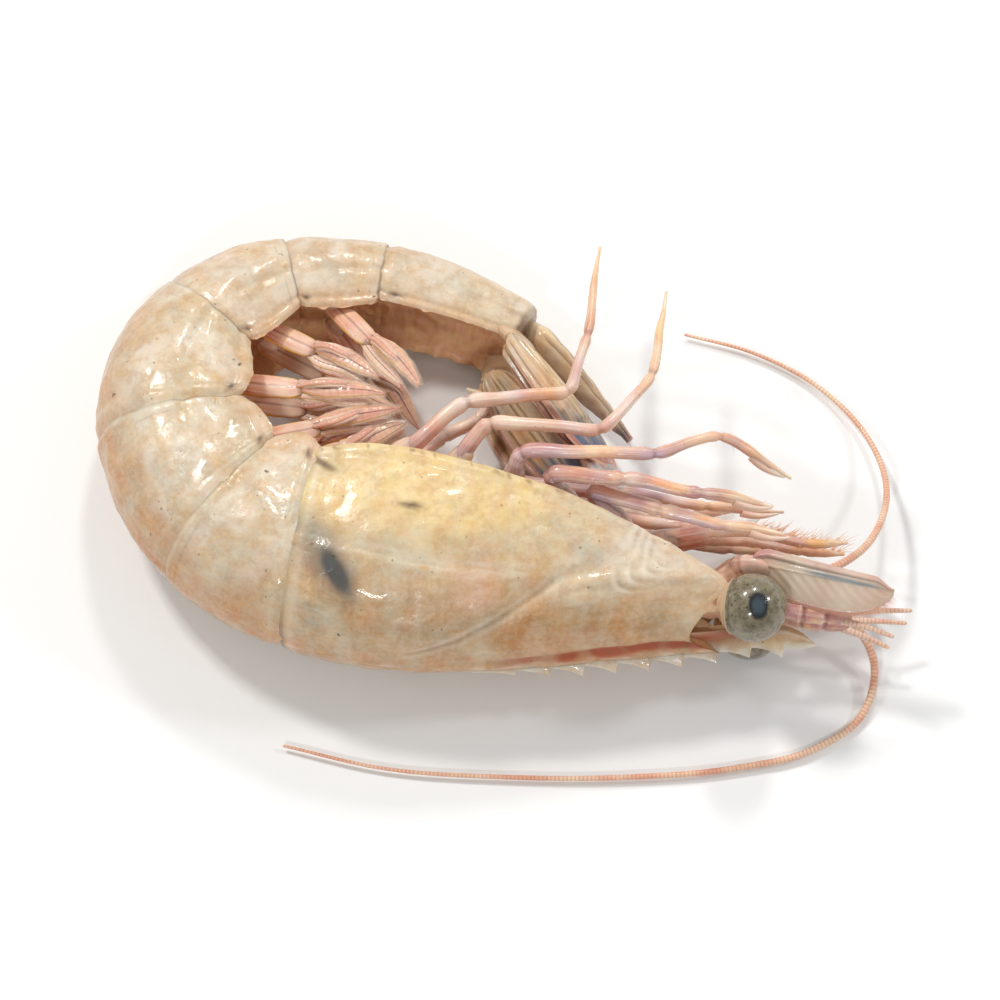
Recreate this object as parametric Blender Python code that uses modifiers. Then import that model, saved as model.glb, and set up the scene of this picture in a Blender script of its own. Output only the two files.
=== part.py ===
"""A raw king prawn, whole and unpeeled, lying curled on its right side.

The shell plates are lofts along one bent body axis. Places on the body are written in millimetres
as (station, ventral, left): the distance along the axis from the eye socket towards the tail, the
distance from the axis towards the belly, and the distance towards the prawn's left side, which
lies uppermost. The head is +X of the tail, the back of the head faces -Y, and +Z is up.
"""

import math

import bmesh
import bpy
import numpy as np
from mathutils import Matrix, Vector

MM = 0.001

# The whole prawn is moved by this at the end, so that the origin is under its middle.
PLAN_SHIFT = Vector((-3.44, -1.97, 0.0))

AXIS_START = Vector((23.2, -11.1, 0.0))  # where the eye sockets, station 0, lie
AXIS_HEADING = 171.7  # degrees: the way from head to tail along the head's straight axis

CARAPACE_LENGTH = 40.0
CARAPACE_STRAIGHT = 37.0  # the axis is straight up to here
# Each ring of the tail: its length along the axis, and how far the axis bends in it, in degrees.
ABDOMEN = ((9.1, 35.0), (11.1, 35.0), (13.1, 52.0), (10.1, 39.0), (9.6, 21.0), (16.2, 19.5))
ABDOMEN_END = CARAPACE_LENGTH + sum(length for length, bend in ABDOMEN)
FAN_BEND = 24.0  # the tail fan is folded this much further under

# station, half width, back height, belly depth, roll of the back towards the ground
BODY = np.array((
    (-12.0, 3.4, 3.6, 3.6, 9.0),
    (0.0, 5.2, 5.2, 4.4, 9.0),
    (6.5, 6.7, 6.6, 5.5, 9.0),
    (13.5, 8.1, 8.4, 6.8, 9.0),
    (20.0, 9.1, 9.9, 7.7, 9.0),
    (29.5, 9.8, 11.4, 8.8, 8.0),
    (37.0, 9.6, 11.3, 8.8, 6.0),
    (44.0, 9.0, 9.9, 7.8, 4.0),
    (54.0, 8.7, 8.9, 6.6, 2.0),
    (66.0, 8.2, 8.2, 5.9, 0.0),
    (78.0, 7.0, 6.3, 4.3, 0.0),
    (88.0, 6.0, 5.1, 3.6, 4.0),
    (98.0, 5.2, 4.7, 3.7, 10.0),
    (109.0, 4.3, 3.6, 3.1, 16.0),
    (121.0, 4.3, 3.6, 3.1, 20.0),
))
FLAT = 0.3  # how much of the flank it lies on is pressed flat
WIDEST = 29.5  # in front of this station the head is held clear of the ground
HEAD_DIP = 0.04  # fall of the axis from there to the eyes

SHELL = 0.6  # thickness of a plate at its hind rim
GAP = 0.3  # clearance between neighbouring plates
OVERLAP = 1.5  # how far a plate covers the next one
FLAPS = (1.6, 2.4, 2.4, 2.4, 2.0, 1.5, 0.4)  # how far the side flaps hang, on the head and each ring
EDGE_NARROWING = 0.2  # the side flaps lean in by this share of the half width
ROUNDNESS = 2.2  # exponent of the superellipse across the back
RING_OUTSIDE = 19  # points across the back, from flap to flap
RING_BELLY = 5  # points across the belly
# Of a plate's section: the share of its points that lie on the back, how much closer they lie near the
# ridge, the ridge's half width in radians, the hem of a flap, and how far the belly rises and arches.
SECTION = {
    "back_share": 0.6, "crowding": 1.15, "ridge_width": 0.2, "hem": 0.9, "belly_rise": 0.8, "belly_arch": 0.5,
}

CARAPACE = {
    "rings": 14, "crowding": 1.2, "ridge": 0.9, "rear_flap": 0.4, "mouth_back": 4.5, "nose": (3.0, 1.0, 0.0),
}
# How far forward the carapace's front edge reaches: at the middle of the back, above, on and below the
# eye socket, at the cheek and at the flap, as (share of the way round, reach).
FRONT_MARGIN = ((0.0, 0.12, 0.28, 0.45, 0.58, 0.72, 1.0), (3.0, 2.2, 1.4, 1.2, 1.6, 3.6, -3.0))

# A ring of the tail: the shares of its length where it has a section, how far it stands out in front
# and how much less at the hind rim, and the ridge on the back of the hind rings.
RING = {
    "sections": (0.0, 0.14, 0.32, 0.5, 0.68, 0.86, 1.0), "front_inset": 0.18, "rim_swell": 0.38,
    "neck_flap": 0.1, "rear_flap": 0.4, "ridge": 0.5, "ridged_from": 4, "last_plug": 0.8,
}

ROSTRUM = {"start": 20.0, "tip": -13.5, "thickness": 1.3, "teeth": 9, "tooth": 1.3, "toothed": 0.9}
BEAK_TOP = ((-13.5, -8.0, 0.0, 6.5, 14.0, 20.0), (3.2, 3.5, 5.7, 7.2, 8.9, 10.1))  # station, height

EYE = {
    "place": (-6.3, -0.6), "left": (5.8, -4.3), "radius": 3.5, "stalk": 1.5, "foot_back": 3.2, "foot_in": 0.78,
}

# The block between the eyes: station, half width, and how far it reaches above and below the axis.
HEAD = (
    (0.6, 1.2, 0.4, 1.2), (-1.2, 1.9, 1.2, 3.2), (-3.2, 2.2, 0.8, 5.2), (-6.0, 2.6, -3.2, 6.0),
    (-9.0, 1.9, -3.4, 5.4),
)
HEAD_SIDES = 12

SCALE = {"length": 15.0, "width": 5.6, "thickness": 0.5}
UROPOD_OUTER = {"length": 18.0, "width": 7.4, "thickness": 0.55}
UROPOD_INNER = {"length": 16.5, "width": 5.8, "thickness": 0.55}
TELSON = {"length": 15.5, "half_width": 2.6, "half_height": 1.7, "taper": 0.86, "lean": -6.0, "rise": 1.2}
FAN_GAP = 1.4  # from the end of the last ring to the roots of the fan's plates
# The plates beside the telson: which, side, how far left and how far below the axis the root is, how far
# the plate is folded round the tail, and how far it leans, in degrees.
UROPODS = (
    ("uropod_inner_left", UROPOD_INNER, 1.0, 3.0, 3.4, 52.0, 3.0),
    ("uropod_outer_left", UROPOD_OUTER, 1.0, 5.0, 3.3, 52.0, 3.5),
    ("uropod_inner_right", UROPOD_INNER, -1.0, 1.9, 4.4, 74.0, 3.0),
    ("uropod_outer_right", UROPOD_OUTER, -1.0, 3.7, 4.4, 74.0, 3.5),
)
SCALES = (("left", 1.0, (-5.4, 4.0, 4.6)), ("right", -1.0, (-5.4, 6.0, -5.2)))  # side, sign, root

# Each leg: its hip as (station, ventral, left), then its joints to the claw as (x, y, z) of the whole
# prawn. It lies on its right side, so the left legs lie over the gap inside the curl and the right
# ones are folded below.
LEFT_LEGS = (
    ((8.5, 6.8, 2.6), (12.6, -0.6, 14.6), (20.1, -3.4, 15.4), (26.4, -4.9, 15.2), (32.4, -5.4, 13.6)),
    ((14.0, 8.0, 2.8), (8.3, 0.6, 16.2), (16.2, -0.6, 17.2), (24.2, -2.2, 17.2), (31.4, -2.6, 14.6)),
    ((20.0, 9.3, 3.0), (5.5, 2.6, 17.2), (19.4, 1.7, 18.2), (26.2, 4.4, 17.4), (33.6, 0.8, 13.4)),
    ((26.0, 10.3, 3.0), (2.4, 6.2, 16.4), (13.9, 4.9, 16.2), (19.5, 11.6, 15.6), (21.0, 22.4, 12.8)),
    ((32.0, 10.4, 3.0), (0.0, 9.2, 15.0), (10.6, 10.0, 14.2), (12.6, 17.4, 12.8), (14.0, 28.6, 10.8)),
)
RIGHT_LEGS = (
    ((8.5, 6.8, -2.6), (14.2, -1.0, 7.2), (22.4, -1.8, 6.8), (29.4, -2.8, 6.0), (35.6, -3.2, 5.0)),
    ((14.0, 8.0, -2.8), (9.2, 1.3, 4.6), (19.4, -1.9, 4.2), (27.6, -3.2, 3.4), (34.4, -2.6, 2.2)),
    ((20.0, 9.3, -3.0), (4.2, 3.0, 7.6), (16.2, 1.8, 7.0), (25.2, 0.8, 5.8), (33.4, 1.2, 3.4)),
    ((26.0, 10.3, -3.0), (-0.8, 4.6, 4.6), (9.4, 2.9, 3.2), (20.6, 0.2, 2.6), (30.2, 2.6, 1.5)),
    ((32.0, 10.4, -3.0), (-2.6, 8.6, 6.4), (1.4, 10.6, 6.2), (2.4, 13.0, 5.2), (0.0, 15.4, 3.4)),
)
LEG_RADIUS = 1.1
LEG_TIP = 0.45
CLAWED_LEGS = 3  # the first three pairs end in small pincers
FINGER = 4.2  # length of a pincer
# How thick a leg is at its hip, just past a joint, before the next one and at the knee, as shares, and
# how far the bend of a knee reaches into both lengths.
LIMB = {"hip": 0.82, "past": 1.08, "before": 1.0, "knee": 0.9, "bend": 1.5, "bend_share": 0.36}
# The short root length of a leg stands on the belly side: its gap to it, and how far towards the
# middle it starts, as a share of the hip's distance from it.
LEG_ROOT = {"gap": 0.5, "inward": 0.9}

MAXILLIPED_RADIUS, MAXILLIPED_TIP = 1.0, 0.5
MAXILLIPED_ROOT = (7.4, 5.3, 1.5)  # just under the front of the belly side
MAXILLIPED = ((4.0, 5.8, 1.6), (-1.0, 7.7, 2.2), (-6.0, 8.2, 2.4), (-11.0, 7.6, 2.2), (-15.0, 8.2, 1.8))

# Tips of the five swimmerets of each side, as (x, y, z) of the whole prawn: they are folded forward
# inside the curl, one over the next.
LEFT_SWIMMERETS = (
    (-6.4, 8.0, 10.6), (-7.0, 9.2, 11.8), (-8.6, 10.4, 12.8), (-9.4, 12.2, 13.2), (-5.2, 10.0, 16.2),
)
RIGHT_SWIMMERETS = (
    (-6.6, 8.2, 8.4), (-7.2, 9.4, 7.2), (-8.4, 10.8, 6.0), (-8.0, 12.4, 4.6), (-5.4, 10.6, 3.0),
)
SWIMMERET = {"stalk_width": 2.6, "blade_width": 3.2, "thickness": 0.8, "left": 2.4, "sunk": 0.2}
SWIMMERET_WIDTHS = (0.8, 1.0, 0.9, 0.7)  # of the stalk, as shares of its width; then the blade's

# The short double feelers: the stations of the three-part base, how far below and beside the axis it
# lies, its (half width, half thickness), and the lean and length of its two whips.
ANTENNULE = {
    "stations": (-9.4, -11.6, -14.0, -16.0), "ventral": 0.6, "left": 1.9,
    "sizes": ((1.3, 1.1), (1.4, 1.2), (1.2, 1.0), (0.8, 0.7)),
    "whips": ((0.9, 6.4), (-0.9, 4.9)), "whip_radii": (0.42, 0.22),
}

FEELER = {"points": 26, "socket": (0.95, 0.8), "thick": 0.55, "thin": 0.23}
# Long feelers: their sockets as (station, ventral, left), then a path as (x, y, z) of the whole
# prawn. Further out they lie on the ground.
LEFT_FEELER = (
    ((-9.6, 4.6, 1.5), (-12.4, 4.8, 2.4)),
    (
        (40.4, -6.0, 9.4), (43.4, -1.2, 6.6), (44.4, 5.0, 3.4), (42.4, 11.4, 1.4), (37.6, 17.0, 0.7),
        (31.0, 20.8, 0.7), (23.6, 23.0, 0.7),
    ),
)
RIGHT_FEELER = (
    ((-9.6, 4.4, -1.5), (-12.6, 3.0, -2.2), (-16.5, 1.8, -3.8)),
    (
        (42.6, -15.4, 2.0), (41.4, -20.4, 0.8), (36.0, -24.4, 0.7),
        (28.0, -26.4, 0.7), (17.0, -27.4, 0.7), (4.0, -27.4, 0.7), (-9.0, -26.4, 0.7), (-19.0, -24.0, 0.7),
    ),
)

COLOURS = {  # base colour, roughness
    "shell": ((0.66, 0.58, 0.46, 1.0), 0.28),
    "flesh": ((0.80, 0.60, 0.46, 1.0), 0.35),
    "limb": ((0.82, 0.55, 0.45, 1.0), 0.3),
    "fan": ((0.52, 0.42, 0.30, 1.0), 0.3),
    "eye": ((0.06, 0.06, 0.055, 1.0), 0.15),
    "feeler": ((0.72, 0.36, 0.24, 1.0), 0.35),
}


# ---------------------------------------------------------------- the body's axis and sections


def smooth(knots, values, x):
    """A smooth curve through (knots, values), read at x."""
    slopes = np.gradient(values, knots)
    i = int(np.clip(np.searchsorted(knots, x) - 1, 0, len(knots) - 2))
    step = knots[i + 1] - knots[i]
    t = float(np.clip((x - knots[i]) / step, 0.0, 1.0))
    return (
        (2 * t**3 - 3 * t**2 + 1) * values[i]
        + (t**3 - 2 * t**2 + t) * step * slopes[i]
        + (3 * t**2 - 2 * t**3) * values[i + 1]
        + (t**3 - t**2) * step * slopes[i + 1]
    )


def segment_starts():
    """The station where each ring of the tail begins, and where the last one ends."""
    return np.concatenate([[CARAPACE_LENGTH], CARAPACE_LENGTH + np.cumsum([a for a, b in ABDOMEN])])


def axis_table(step=0.1):
    """Stations along the axis, with their heading in degrees and their place on the ground."""
    starts = segment_starts()
    bends = [bend / length for length, bend in ABDOMEN]
    knots = [CARAPACE_STRAIGHT, *((starts[:-1] + starts[1:]) / 2), ABDOMEN_END]
    rates = [0.0, *bends, bends[-1]]
    stations = np.arange(-40.0, ABDOMEN_END + 40.0, step)
    turned = np.cumsum(np.interp(stations, knots, rates, right=0.0)) * step
    headings = AXIS_HEADING - turned
    x = np.cumsum(np.cos(np.radians(headings))) * step
    y = np.cumsum(np.sin(np.radians(headings))) * step
    x += AXIS_START.x - np.interp(0.0, stations, x)
    y += AXIS_START.y - np.interp(0.0, stations, y)
    return stations, headings, x, y


AXIS = axis_table()


def body(station):
    """(half width, back height, belly depth, roll in degrees) at a station."""
    return [smooth(BODY[:, 0], BODY[:, k], station) for k in range(1, 5)]


def axis_height(station):
    """The axis is as high as its section reaches down, less the part that is pressed flat."""
    half_width, back, _, roll = body(max(station, WIDEST))
    sideways, backward = half_width * math.cos(math.radians(roll)), back * math.sin(math.radians(roll))
    power = ROUNDNESS / (ROUNDNESS - 1)
    reach = (sideways**power + abs(backward) ** power) ** (1 / power)
    return reach - FLAT - HEAD_DIP * max(0.0, WIDEST - station)


def frame_at(station, extra_bend=0.0):
    """(place, towards the tail, towards the back, towards the left) at a station, in millimetres."""
    stations, headings, x, y = AXIS
    heading = math.radians(np.interp(station, stations, headings) - extra_bend)
    roll = math.radians(body(station)[3])
    place = Vector((np.interp(station, stations, x), np.interp(station, stations, y), axis_height(station)))
    tail = Vector((math.cos(heading), math.sin(heading), 0.0))
    flat_back = Vector((-math.sin(heading), math.cos(heading), 0.0))
    up = Vector((0.0, 0.0, 1.0))
    back = flat_back * math.cos(roll) - up * math.sin(roll)
    left = up * math.cos(roll) + flat_back * math.sin(roll)
    return place, tail, back, left


def at(station, ventral, left):
    """The point of the body at (station, ventral, left), in millimetres."""
    place, _, back_way, left_way = frame_at(station)
    return place - back_way * ventral + left_way * left


def shell_ring(station, inset=0.0, flap=0.0, ridge=0.0):
    """A closed section of a plate with its side flaps: outside from left flap to right, then the belly."""
    half_width, back, belly, _ = body(station)
    half_width, back = half_width - inset, back - inset
    edge = belly + flap - inset
    inner = belly - inset
    points = []
    for a in np.linspace(-1.0, 1.0, RING_OUTSIDE):
        # The points lie closer together at the middle of the back, where the ridge is.
        side, share = math.copysign(1.0, a), abs(a) ** SECTION["crowding"]
        if share < SECTION["back_share"]:
            angle = share / SECTION["back_share"] * math.pi / 2
            across = half_width * math.sin(angle) ** (2 / ROUNDNESS)
            crest = ridge * math.exp(-((angle / SECTION["ridge_width"]) ** 2))
            up = back * math.cos(angle) ** (2 / ROUNDNESS) + crest
        else:
            down = (share - SECTION["back_share"]) / (1 - SECTION["back_share"])
            across = half_width * (1 - EDGE_NARROWING * down**2)
            up = -edge * down
        points.append((-side * across, up))
    rim = half_width * (1 - EDGE_NARROWING) - SECTION["hem"]
    for share in np.linspace(-1.0, 1.0, RING_BELLY):
        arch = SECTION["belly_rise"] + SECTION["belly_arch"] * (1 - share**2)
        points.append((rim * share, -inner + arch))
    # The left side is positive, so the first point is at the left flap.
    place, _, back_way, left_way = frame_at(station)
    ring = [place + left_way * across + back_way * up for across, up in points]
    floor = inset if inset > GAP / 2 + 0.1 else 0.0
    for point in ring:
        point.z = max(point.z, floor)
    return ring


# ---------------------------------------------------------------- meshes


def material(name):
    found = bpy.data.materials.get(name)
    if found:
        return found
    made = bpy.data.materials.new(name)
    made.use_nodes = True
    colour, roughness = COLOURS[name]
    shader = made.node_tree.nodes["Principled BSDF"]
    shader.inputs["Base Color"].default_value = colour
    shader.inputs["Roughness"].default_value = roughness
    shader.inputs["Metallic"].default_value = 0.0
    made.diffuse_color = colour
    return made


def add_object(name, mesh, finish):
    made = bpy.data.objects.new(name, mesh)
    bpy.data.collections["king_prawn"].objects.link(made)
    mesh.materials.clear()
    mesh.materials.append(material(finish))
    mesh.shade_smooth()
    mesh.set_sharp_from_angle(angle=math.radians(45))
    return made


def loft(name, rings, finish, front=None, rear=None):
    """A closed skin over rings of equal length. front and rear are points in place of flat ends."""
    bm = bmesh.new()
    rows = [[bm.verts.new(p * MM) for p in ring] for ring in rings]
    count = len(rows[0])
    for one, two in zip(rows, rows[1:]):
        for i in range(count):
            j = (i + 1) % count
            bm.faces.new((one[i], one[j], two[j], two[i]))
    for row, point in ((rows[0][::-1], front), (rows[-1], rear)):
        if point is None:
            bm.faces.new(row)
            continue
        middle = bm.verts.new(point * MM)
        for i in range(count):
            bm.faces.new((row[i], row[(i + 1) % count], middle))
    bmesh.ops.recalc_face_normals(bm, faces=bm.faces)
    mesh = bpy.data.meshes.new(name)
    bm.to_mesh(mesh)
    bm.free()
    return add_object(name, mesh, finish)


def oval_loft(name, path, sizes, finish, wide, sides=8):
    """A loft with oval sections along a path. sizes are (half width, half thickness) at each point,
    and wide is the way in which the width lies."""
    rings = []
    for i, (point, (half_width, half_thick)) in enumerate(zip(path, sizes)):
        along = (path[min(i + 1, len(path) - 1)] - path[max(i - 1, 0)]).normalized()
        across = (wide - along * wide.dot(along)).normalized()
        through = along.cross(across)
        ring = []
        for k in range(sides):
            angle = 2 * math.pi * (k + 0.5) / sides
            ring.append(
                point + across * half_width * math.cos(angle) + through * half_thick * math.sin(angle)
            )
        rings.append(ring)
    return loft(name, rings, finish)


def tube(name, points, radii, finish):
    """A rod of changing thickness, as a curve with a bevel."""
    curve = bpy.data.curves.new(name, "CURVE")
    curve.dimensions = "3D"
    curve.bevel_depth = MM
    curve.bevel_resolution = 1
    curve.use_fill_caps = True
    spline = curve.splines.new("POLY")
    spline.points.add(len(points) - 1)
    for spot, point, radius in zip(spline.points, points, radii):
        spot.co = (*(point * MM), 1.0)
        spot.radius = radius
    curve.materials.append(material(finish))
    made = bpy.data.objects.new(name, curve)
    bpy.data.collections["king_prawn"].objects.link(made)
    return made


def as_mesh(obj):
    """The object with its modifiers applied and its loose caps welded, as a plain mesh."""
    bpy.context.view_layer.update()
    graph = bpy.context.evaluated_depsgraph_get()
    mesh = bpy.data.meshes.new_from_object(obj.evaluated_get(graph))
    bm = bmesh.new()
    bm.from_mesh(mesh)
    bmesh.ops.remove_doubles(bm, verts=bm.verts, dist=1e-6)
    bmesh.ops.recalc_face_normals(bm, faces=bm.faces)
    bm.to_mesh(mesh)
    bm.free()
    name, matrix, finish = obj.name, obj.matrix_world.copy(), obj.data.materials[0].name
    bpy.data.objects.remove(obj)
    made = add_object(name, mesh, finish)
    made.name = name
    made.matrix_world = matrix
    return made


def fuse(base, *others):
    """base joined with the others into one solid."""
    base = as_mesh(base)
    for other in others:
        other = as_mesh(other)
        join = base.modifiers.new("join", "BOOLEAN")
        join.operation = "UNION"
        join.solver = "EXACT"
        join.object = other
        base = as_mesh(base)
        bpy.data.objects.remove(other)
    return base


def through(points, count):
    """count points, evenly spaced, on a smooth curve through the given points."""
    knots = np.concatenate([[0.0], np.cumsum([(b - a).length for a, b in zip(points, points[1:])])])
    places = np.array([tuple(p) for p in points])
    return [
        Vector([smooth(knots, places[:, k], x) for k in range(3)])
        for x in np.linspace(0.0, knots[-1], count)
    ]


# ---------------------------------------------------------------- shell


def carapace():
    """The head's shell: one plate from the eye sockets to the tail's first ring, with its beak."""
    rings = []
    rim = CARAPACE_LENGTH - GAP
    for share in np.linspace(0.0, 1.0, CARAPACE["rings"]) ** CARAPACE["crowding"]:
        station = share * rim
        flap = FLAPS[0] * math.sin(math.pi * (0.12 + 0.82 * share)) ** 0.7
        ridge = CARAPACE["ridge"] * (1 - share) ** 1.5
        ring = shell_ring(station, flap=flap, ridge=ridge)
        forward = -frame_at(station)[1]
        pull = (1 - share) ** 4
        for i in range(RING_OUTSIDE):
            ring[i] = ring[i] + forward * front_margin(i) * pull
        for i in range(RING_OUTSIDE, len(ring)):
            ring[i] = ring[i] - forward * CARAPACE["mouth_back"] * pull
        rings.append(ring)
    rings.append(shell_ring(rim, inset=SHELL, flap=CARAPACE["rear_flap"]))
    rings.append(shell_ring(rim - OVERLAP, inset=SHELL, flap=CARAPACE["rear_flap"]))
    shell = loft("carapace", rings, "shell", front=at(*CARAPACE["nose"]))
    return fuse(shell, rostrum())


def front_margin(index):
    """How far forward the carapace's front edge reaches at a point of its ring."""
    away = abs(index / (RING_OUTSIDE - 1) * 2 - 1)  # 0 at the middle of the back, 1 at the flap
    knots, reach = np.array(FRONT_MARGIN)
    return smooth(knots, reach, away)


def rostrum():
    """The toothed beak: a flat blade along the middle of the back, past the eyes."""
    spec = ROSTRUM
    length = spec["start"] - spec["tip"]
    upper = []
    for k in range(spec["teeth"]):
        start = spec["start"] - length * spec["toothed"] * k / spec["teeth"]
        end = spec["start"] - length * spec["toothed"] * (k + 1) / spec["teeth"]
        grow = min(1.0, (k + 1) / 3)
        upper.append((start, beak_top(start)))
        upper.append((end + 0.5, beak_top(end) + spec["tooth"] * grow * 0.75))
    upper.append((spec["tip"] + 2.4, beak_top(spec["tip"] + 2.4)))
    tip = (spec["tip"], beak_top(spec["tip"]) - 0.7)
    lower = [
        (spec["tip"] + 4.5, beak_top(spec["tip"]) - 2.6),
        (0.0, beak_top(0.0) - 3.0),
        (spec["start"] - 4.0, beak_top(spec["start"]) - 3.0),
    ]
    curve = bpy.data.curves.new("rostrum", "CURVE")
    curve.dimensions = "2D"
    curve.fill_mode = "BOTH"
    curve.extrude = spec["thickness"] / 2 * MM
    spline = curve.splines.new("POLY")
    outline = [*upper, tip, *lower]
    spline.points.add(len(outline) - 1)
    for spot, (station, height) in zip(spline.points, outline):
        spot.co = (station * MM, height * MM, 0.0, 1.0)
    spline.use_cyclic_u = True
    curve.materials.append(material("shell"))
    made = bpy.data.objects.new("rostrum", curve)
    bpy.data.collections["king_prawn"].objects.link(made)
    place, tail, back, left = frame_at(0.0)
    turn = Matrix((tail, back, left)).transposed().to_4x4()
    made.matrix_world = Matrix.Translation(place * MM) @ turn
    return made


def beak_top(station):
    """Height of the beak's upper edge above the axis, without its teeth."""
    stations, heights = np.array(BEAK_TOP)
    return smooth(stations, heights, station)


def abdomen_segment(number):
    """One ring of the tail. Its hind rim covers the neck of the next one."""
    starts = segment_starts()
    start, end = starts[number - 1], starts[number]
    last = number == len(ABDOMEN)
    ridge = RING["ridge"] if number >= RING["ridged_from"] else 0.0
    rings = [
        shell_ring(start - OVERLAP + GAP, inset=SHELL + GAP, flap=RING["neck_flap"]),
        shell_ring(start + GAP, inset=SHELL + GAP, flap=RING["neck_flap"]),
    ]
    for share in RING["sections"]:
        station = start + GAP + share * (end - start - 2 * GAP)
        inset = RING["front_inset"] - RING["rim_swell"] * share**2  # the hind rim stands out a little
        flap = FLAPS[number] * math.sin(math.pi * (0.06 + 0.88 * share)) ** 0.6
        rings.append(shell_ring(station, inset=inset, flap=flap, ridge=ridge))
    if last:
        rings.append(shell_ring(end + RING["last_plug"], inset=SHELL + GAP))
    else:
        rings.append(shell_ring(end - GAP, inset=SHELL, flap=RING["rear_flap"]))
        rings.append(shell_ring(end - GAP - OVERLAP, inset=SHELL, flap=RING["rear_flap"]))
    return loft(f"abdomen_{number}", rings, "shell")


# ---------------------------------------------------------------- tail fan


def fan_frame(lean=0.0):
    """The frame at the root of the fan, leaning further towards the belly."""
    return frame_at(ABDOMEN_END, extra_bend=FAN_BEND + lean)


def telson():
    """The tail's pointed end plate."""
    place, tail, back, left = fan_frame(TELSON["lean"])
    path, sizes = [], []
    for share in np.linspace(0.0, 1.0, 9):
        rise = TELSON["rise"] - share**2
        path.append(place + tail * (FAN_GAP + TELSON["length"] * share) + back * rise)
        taper = 1 - TELSON["taper"] * share**1.4
        sizes.append((TELSON["half_width"] * taper, TELSON["half_height"] * (1 - 0.75 * share)))
    return oval_loft("telson", path, sizes, "shell", wide=left, sides=10)


def blade(name, spec, root, along, across, face, finish, outline, camber=0.8, columns=12, rows=4):
    """A thin, slightly domed plate. outline gives (inner, outer) half widths, as shares, at a share
    of the length. It is an open grid with Solidify."""
    bm = bmesh.new()
    bmesh.ops.create_grid(bm, x_segments=columns, y_segments=rows, size=0.5)
    for v in bm.verts:
        share, side = v.co.x + 0.5, v.co.y * 2
        inner, outer = outline(share)
        reach = outer if side > 0 else inner
        point = (
            root
            + along * spec["length"] * share
            + across * side * reach * spec["width"] / 2
            + face * camber * (math.sin(math.pi * share) * 0.6 - side * side * reach)
        )
        v.co = point * MM
    mesh = bpy.data.meshes.new(name)
    bm.to_mesh(mesh)
    bm.free()
    made = add_object(name, mesh, finish)
    thick = made.modifiers.new("thickness", "SOLIDIFY")
    thick.thickness = spec["thickness"] * MM
    thick.offset = 0.0
    return made


def uropod_outline(share):
    """An oval plate, narrow at its root and blunt at its end."""
    width = math.sin(math.pi * min(1.0, 0.14 + share * 0.62)) ** 0.8
    if share > 0.72:
        width *= math.sqrt(max(0.0, 1 - ((share - 0.72) / 0.285) ** 2))
    return max(0.1, width * 0.92), max(0.1, width)


def scale_outline(share):
    """The feeler scale: nearly straight outside, bowed inside, with a slanting end."""
    inner = math.sin(math.pi * min(1.0, 0.12 + share * 0.66)) ** 0.7
    if share > 0.7:
        inner *= math.sqrt(max(0.0, 1 - ((share - 0.7) / 0.305) ** 2))
    return max(0.1, inner * 1.15), max(0.1, 0.75 - 0.35 * share)


def uropods():
    """Two plates on each side of the telson, folded towards the belly like a closed fan."""
    for name, spec, side, left_by, ventral_by, fold, lean in UROPODS:
        place, tail, back, left = fan_frame(lean)
        root = place + tail * FAN_GAP + left * left_by * side - back * ventral_by
        turn = Matrix.Rotation(math.radians(fold * side), 3, tail)
        blade(name, spec, root, tail, turn @ left * side, turn @ back, "fan", uropod_outline)


# ---------------------------------------------------------------- head


def head():
    """The block between the eyes that carries the feelers and the mouth."""
    rings = []
    for station, width, top, bottom in HEAD:
        ring = []
        for k in range(HEAD_SIDES):
            angle = 2 * math.pi * k / HEAD_SIDES
            height = (top - bottom) / 2 + (top + bottom) / 2 * math.cos(angle)
            ring.append(at(station, -height, width * math.sin(angle)))
        rings.append(ring)
    return loft("head", rings, "flesh")


def eye(name, left):
    """A ball on a short stalk. The right eye is pushed in by the ground."""
    station, ventral = EYE["place"]
    centre = at(station, ventral, left)
    foot = at(station + EYE["foot_back"], ventral, left * EYE["foot_in"])
    bpy.ops.mesh.primitive_uv_sphere_add(segments=18, ring_count=12, radius=EYE["radius"] * MM)
    ball = bpy.context.object
    ball.name = name
    ball.data.materials.append(material("eye"))
    ball.matrix_world = Matrix.Translation(centre * MM)
    for collection in list(ball.users_collection):
        collection.objects.unlink(ball)
    bpy.data.collections["king_prawn"].objects.link(ball)
    stalk = tube(name + "_stalk", [foot, centre], [EYE["stalk"], EYE["stalk"]], "eye")
    return fuse(ball, stalk)


def belly_side(station, left):
    """How far below the axis the concave belly side of the head shell lies."""
    half_width, _, belly, _ = body(station)
    share = left / (half_width * (1 - EDGE_NARROWING) - SECTION["hem"])
    return belly - SECTION["belly_rise"] - SECTION["belly_arch"] * (1 - share**2)


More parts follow.
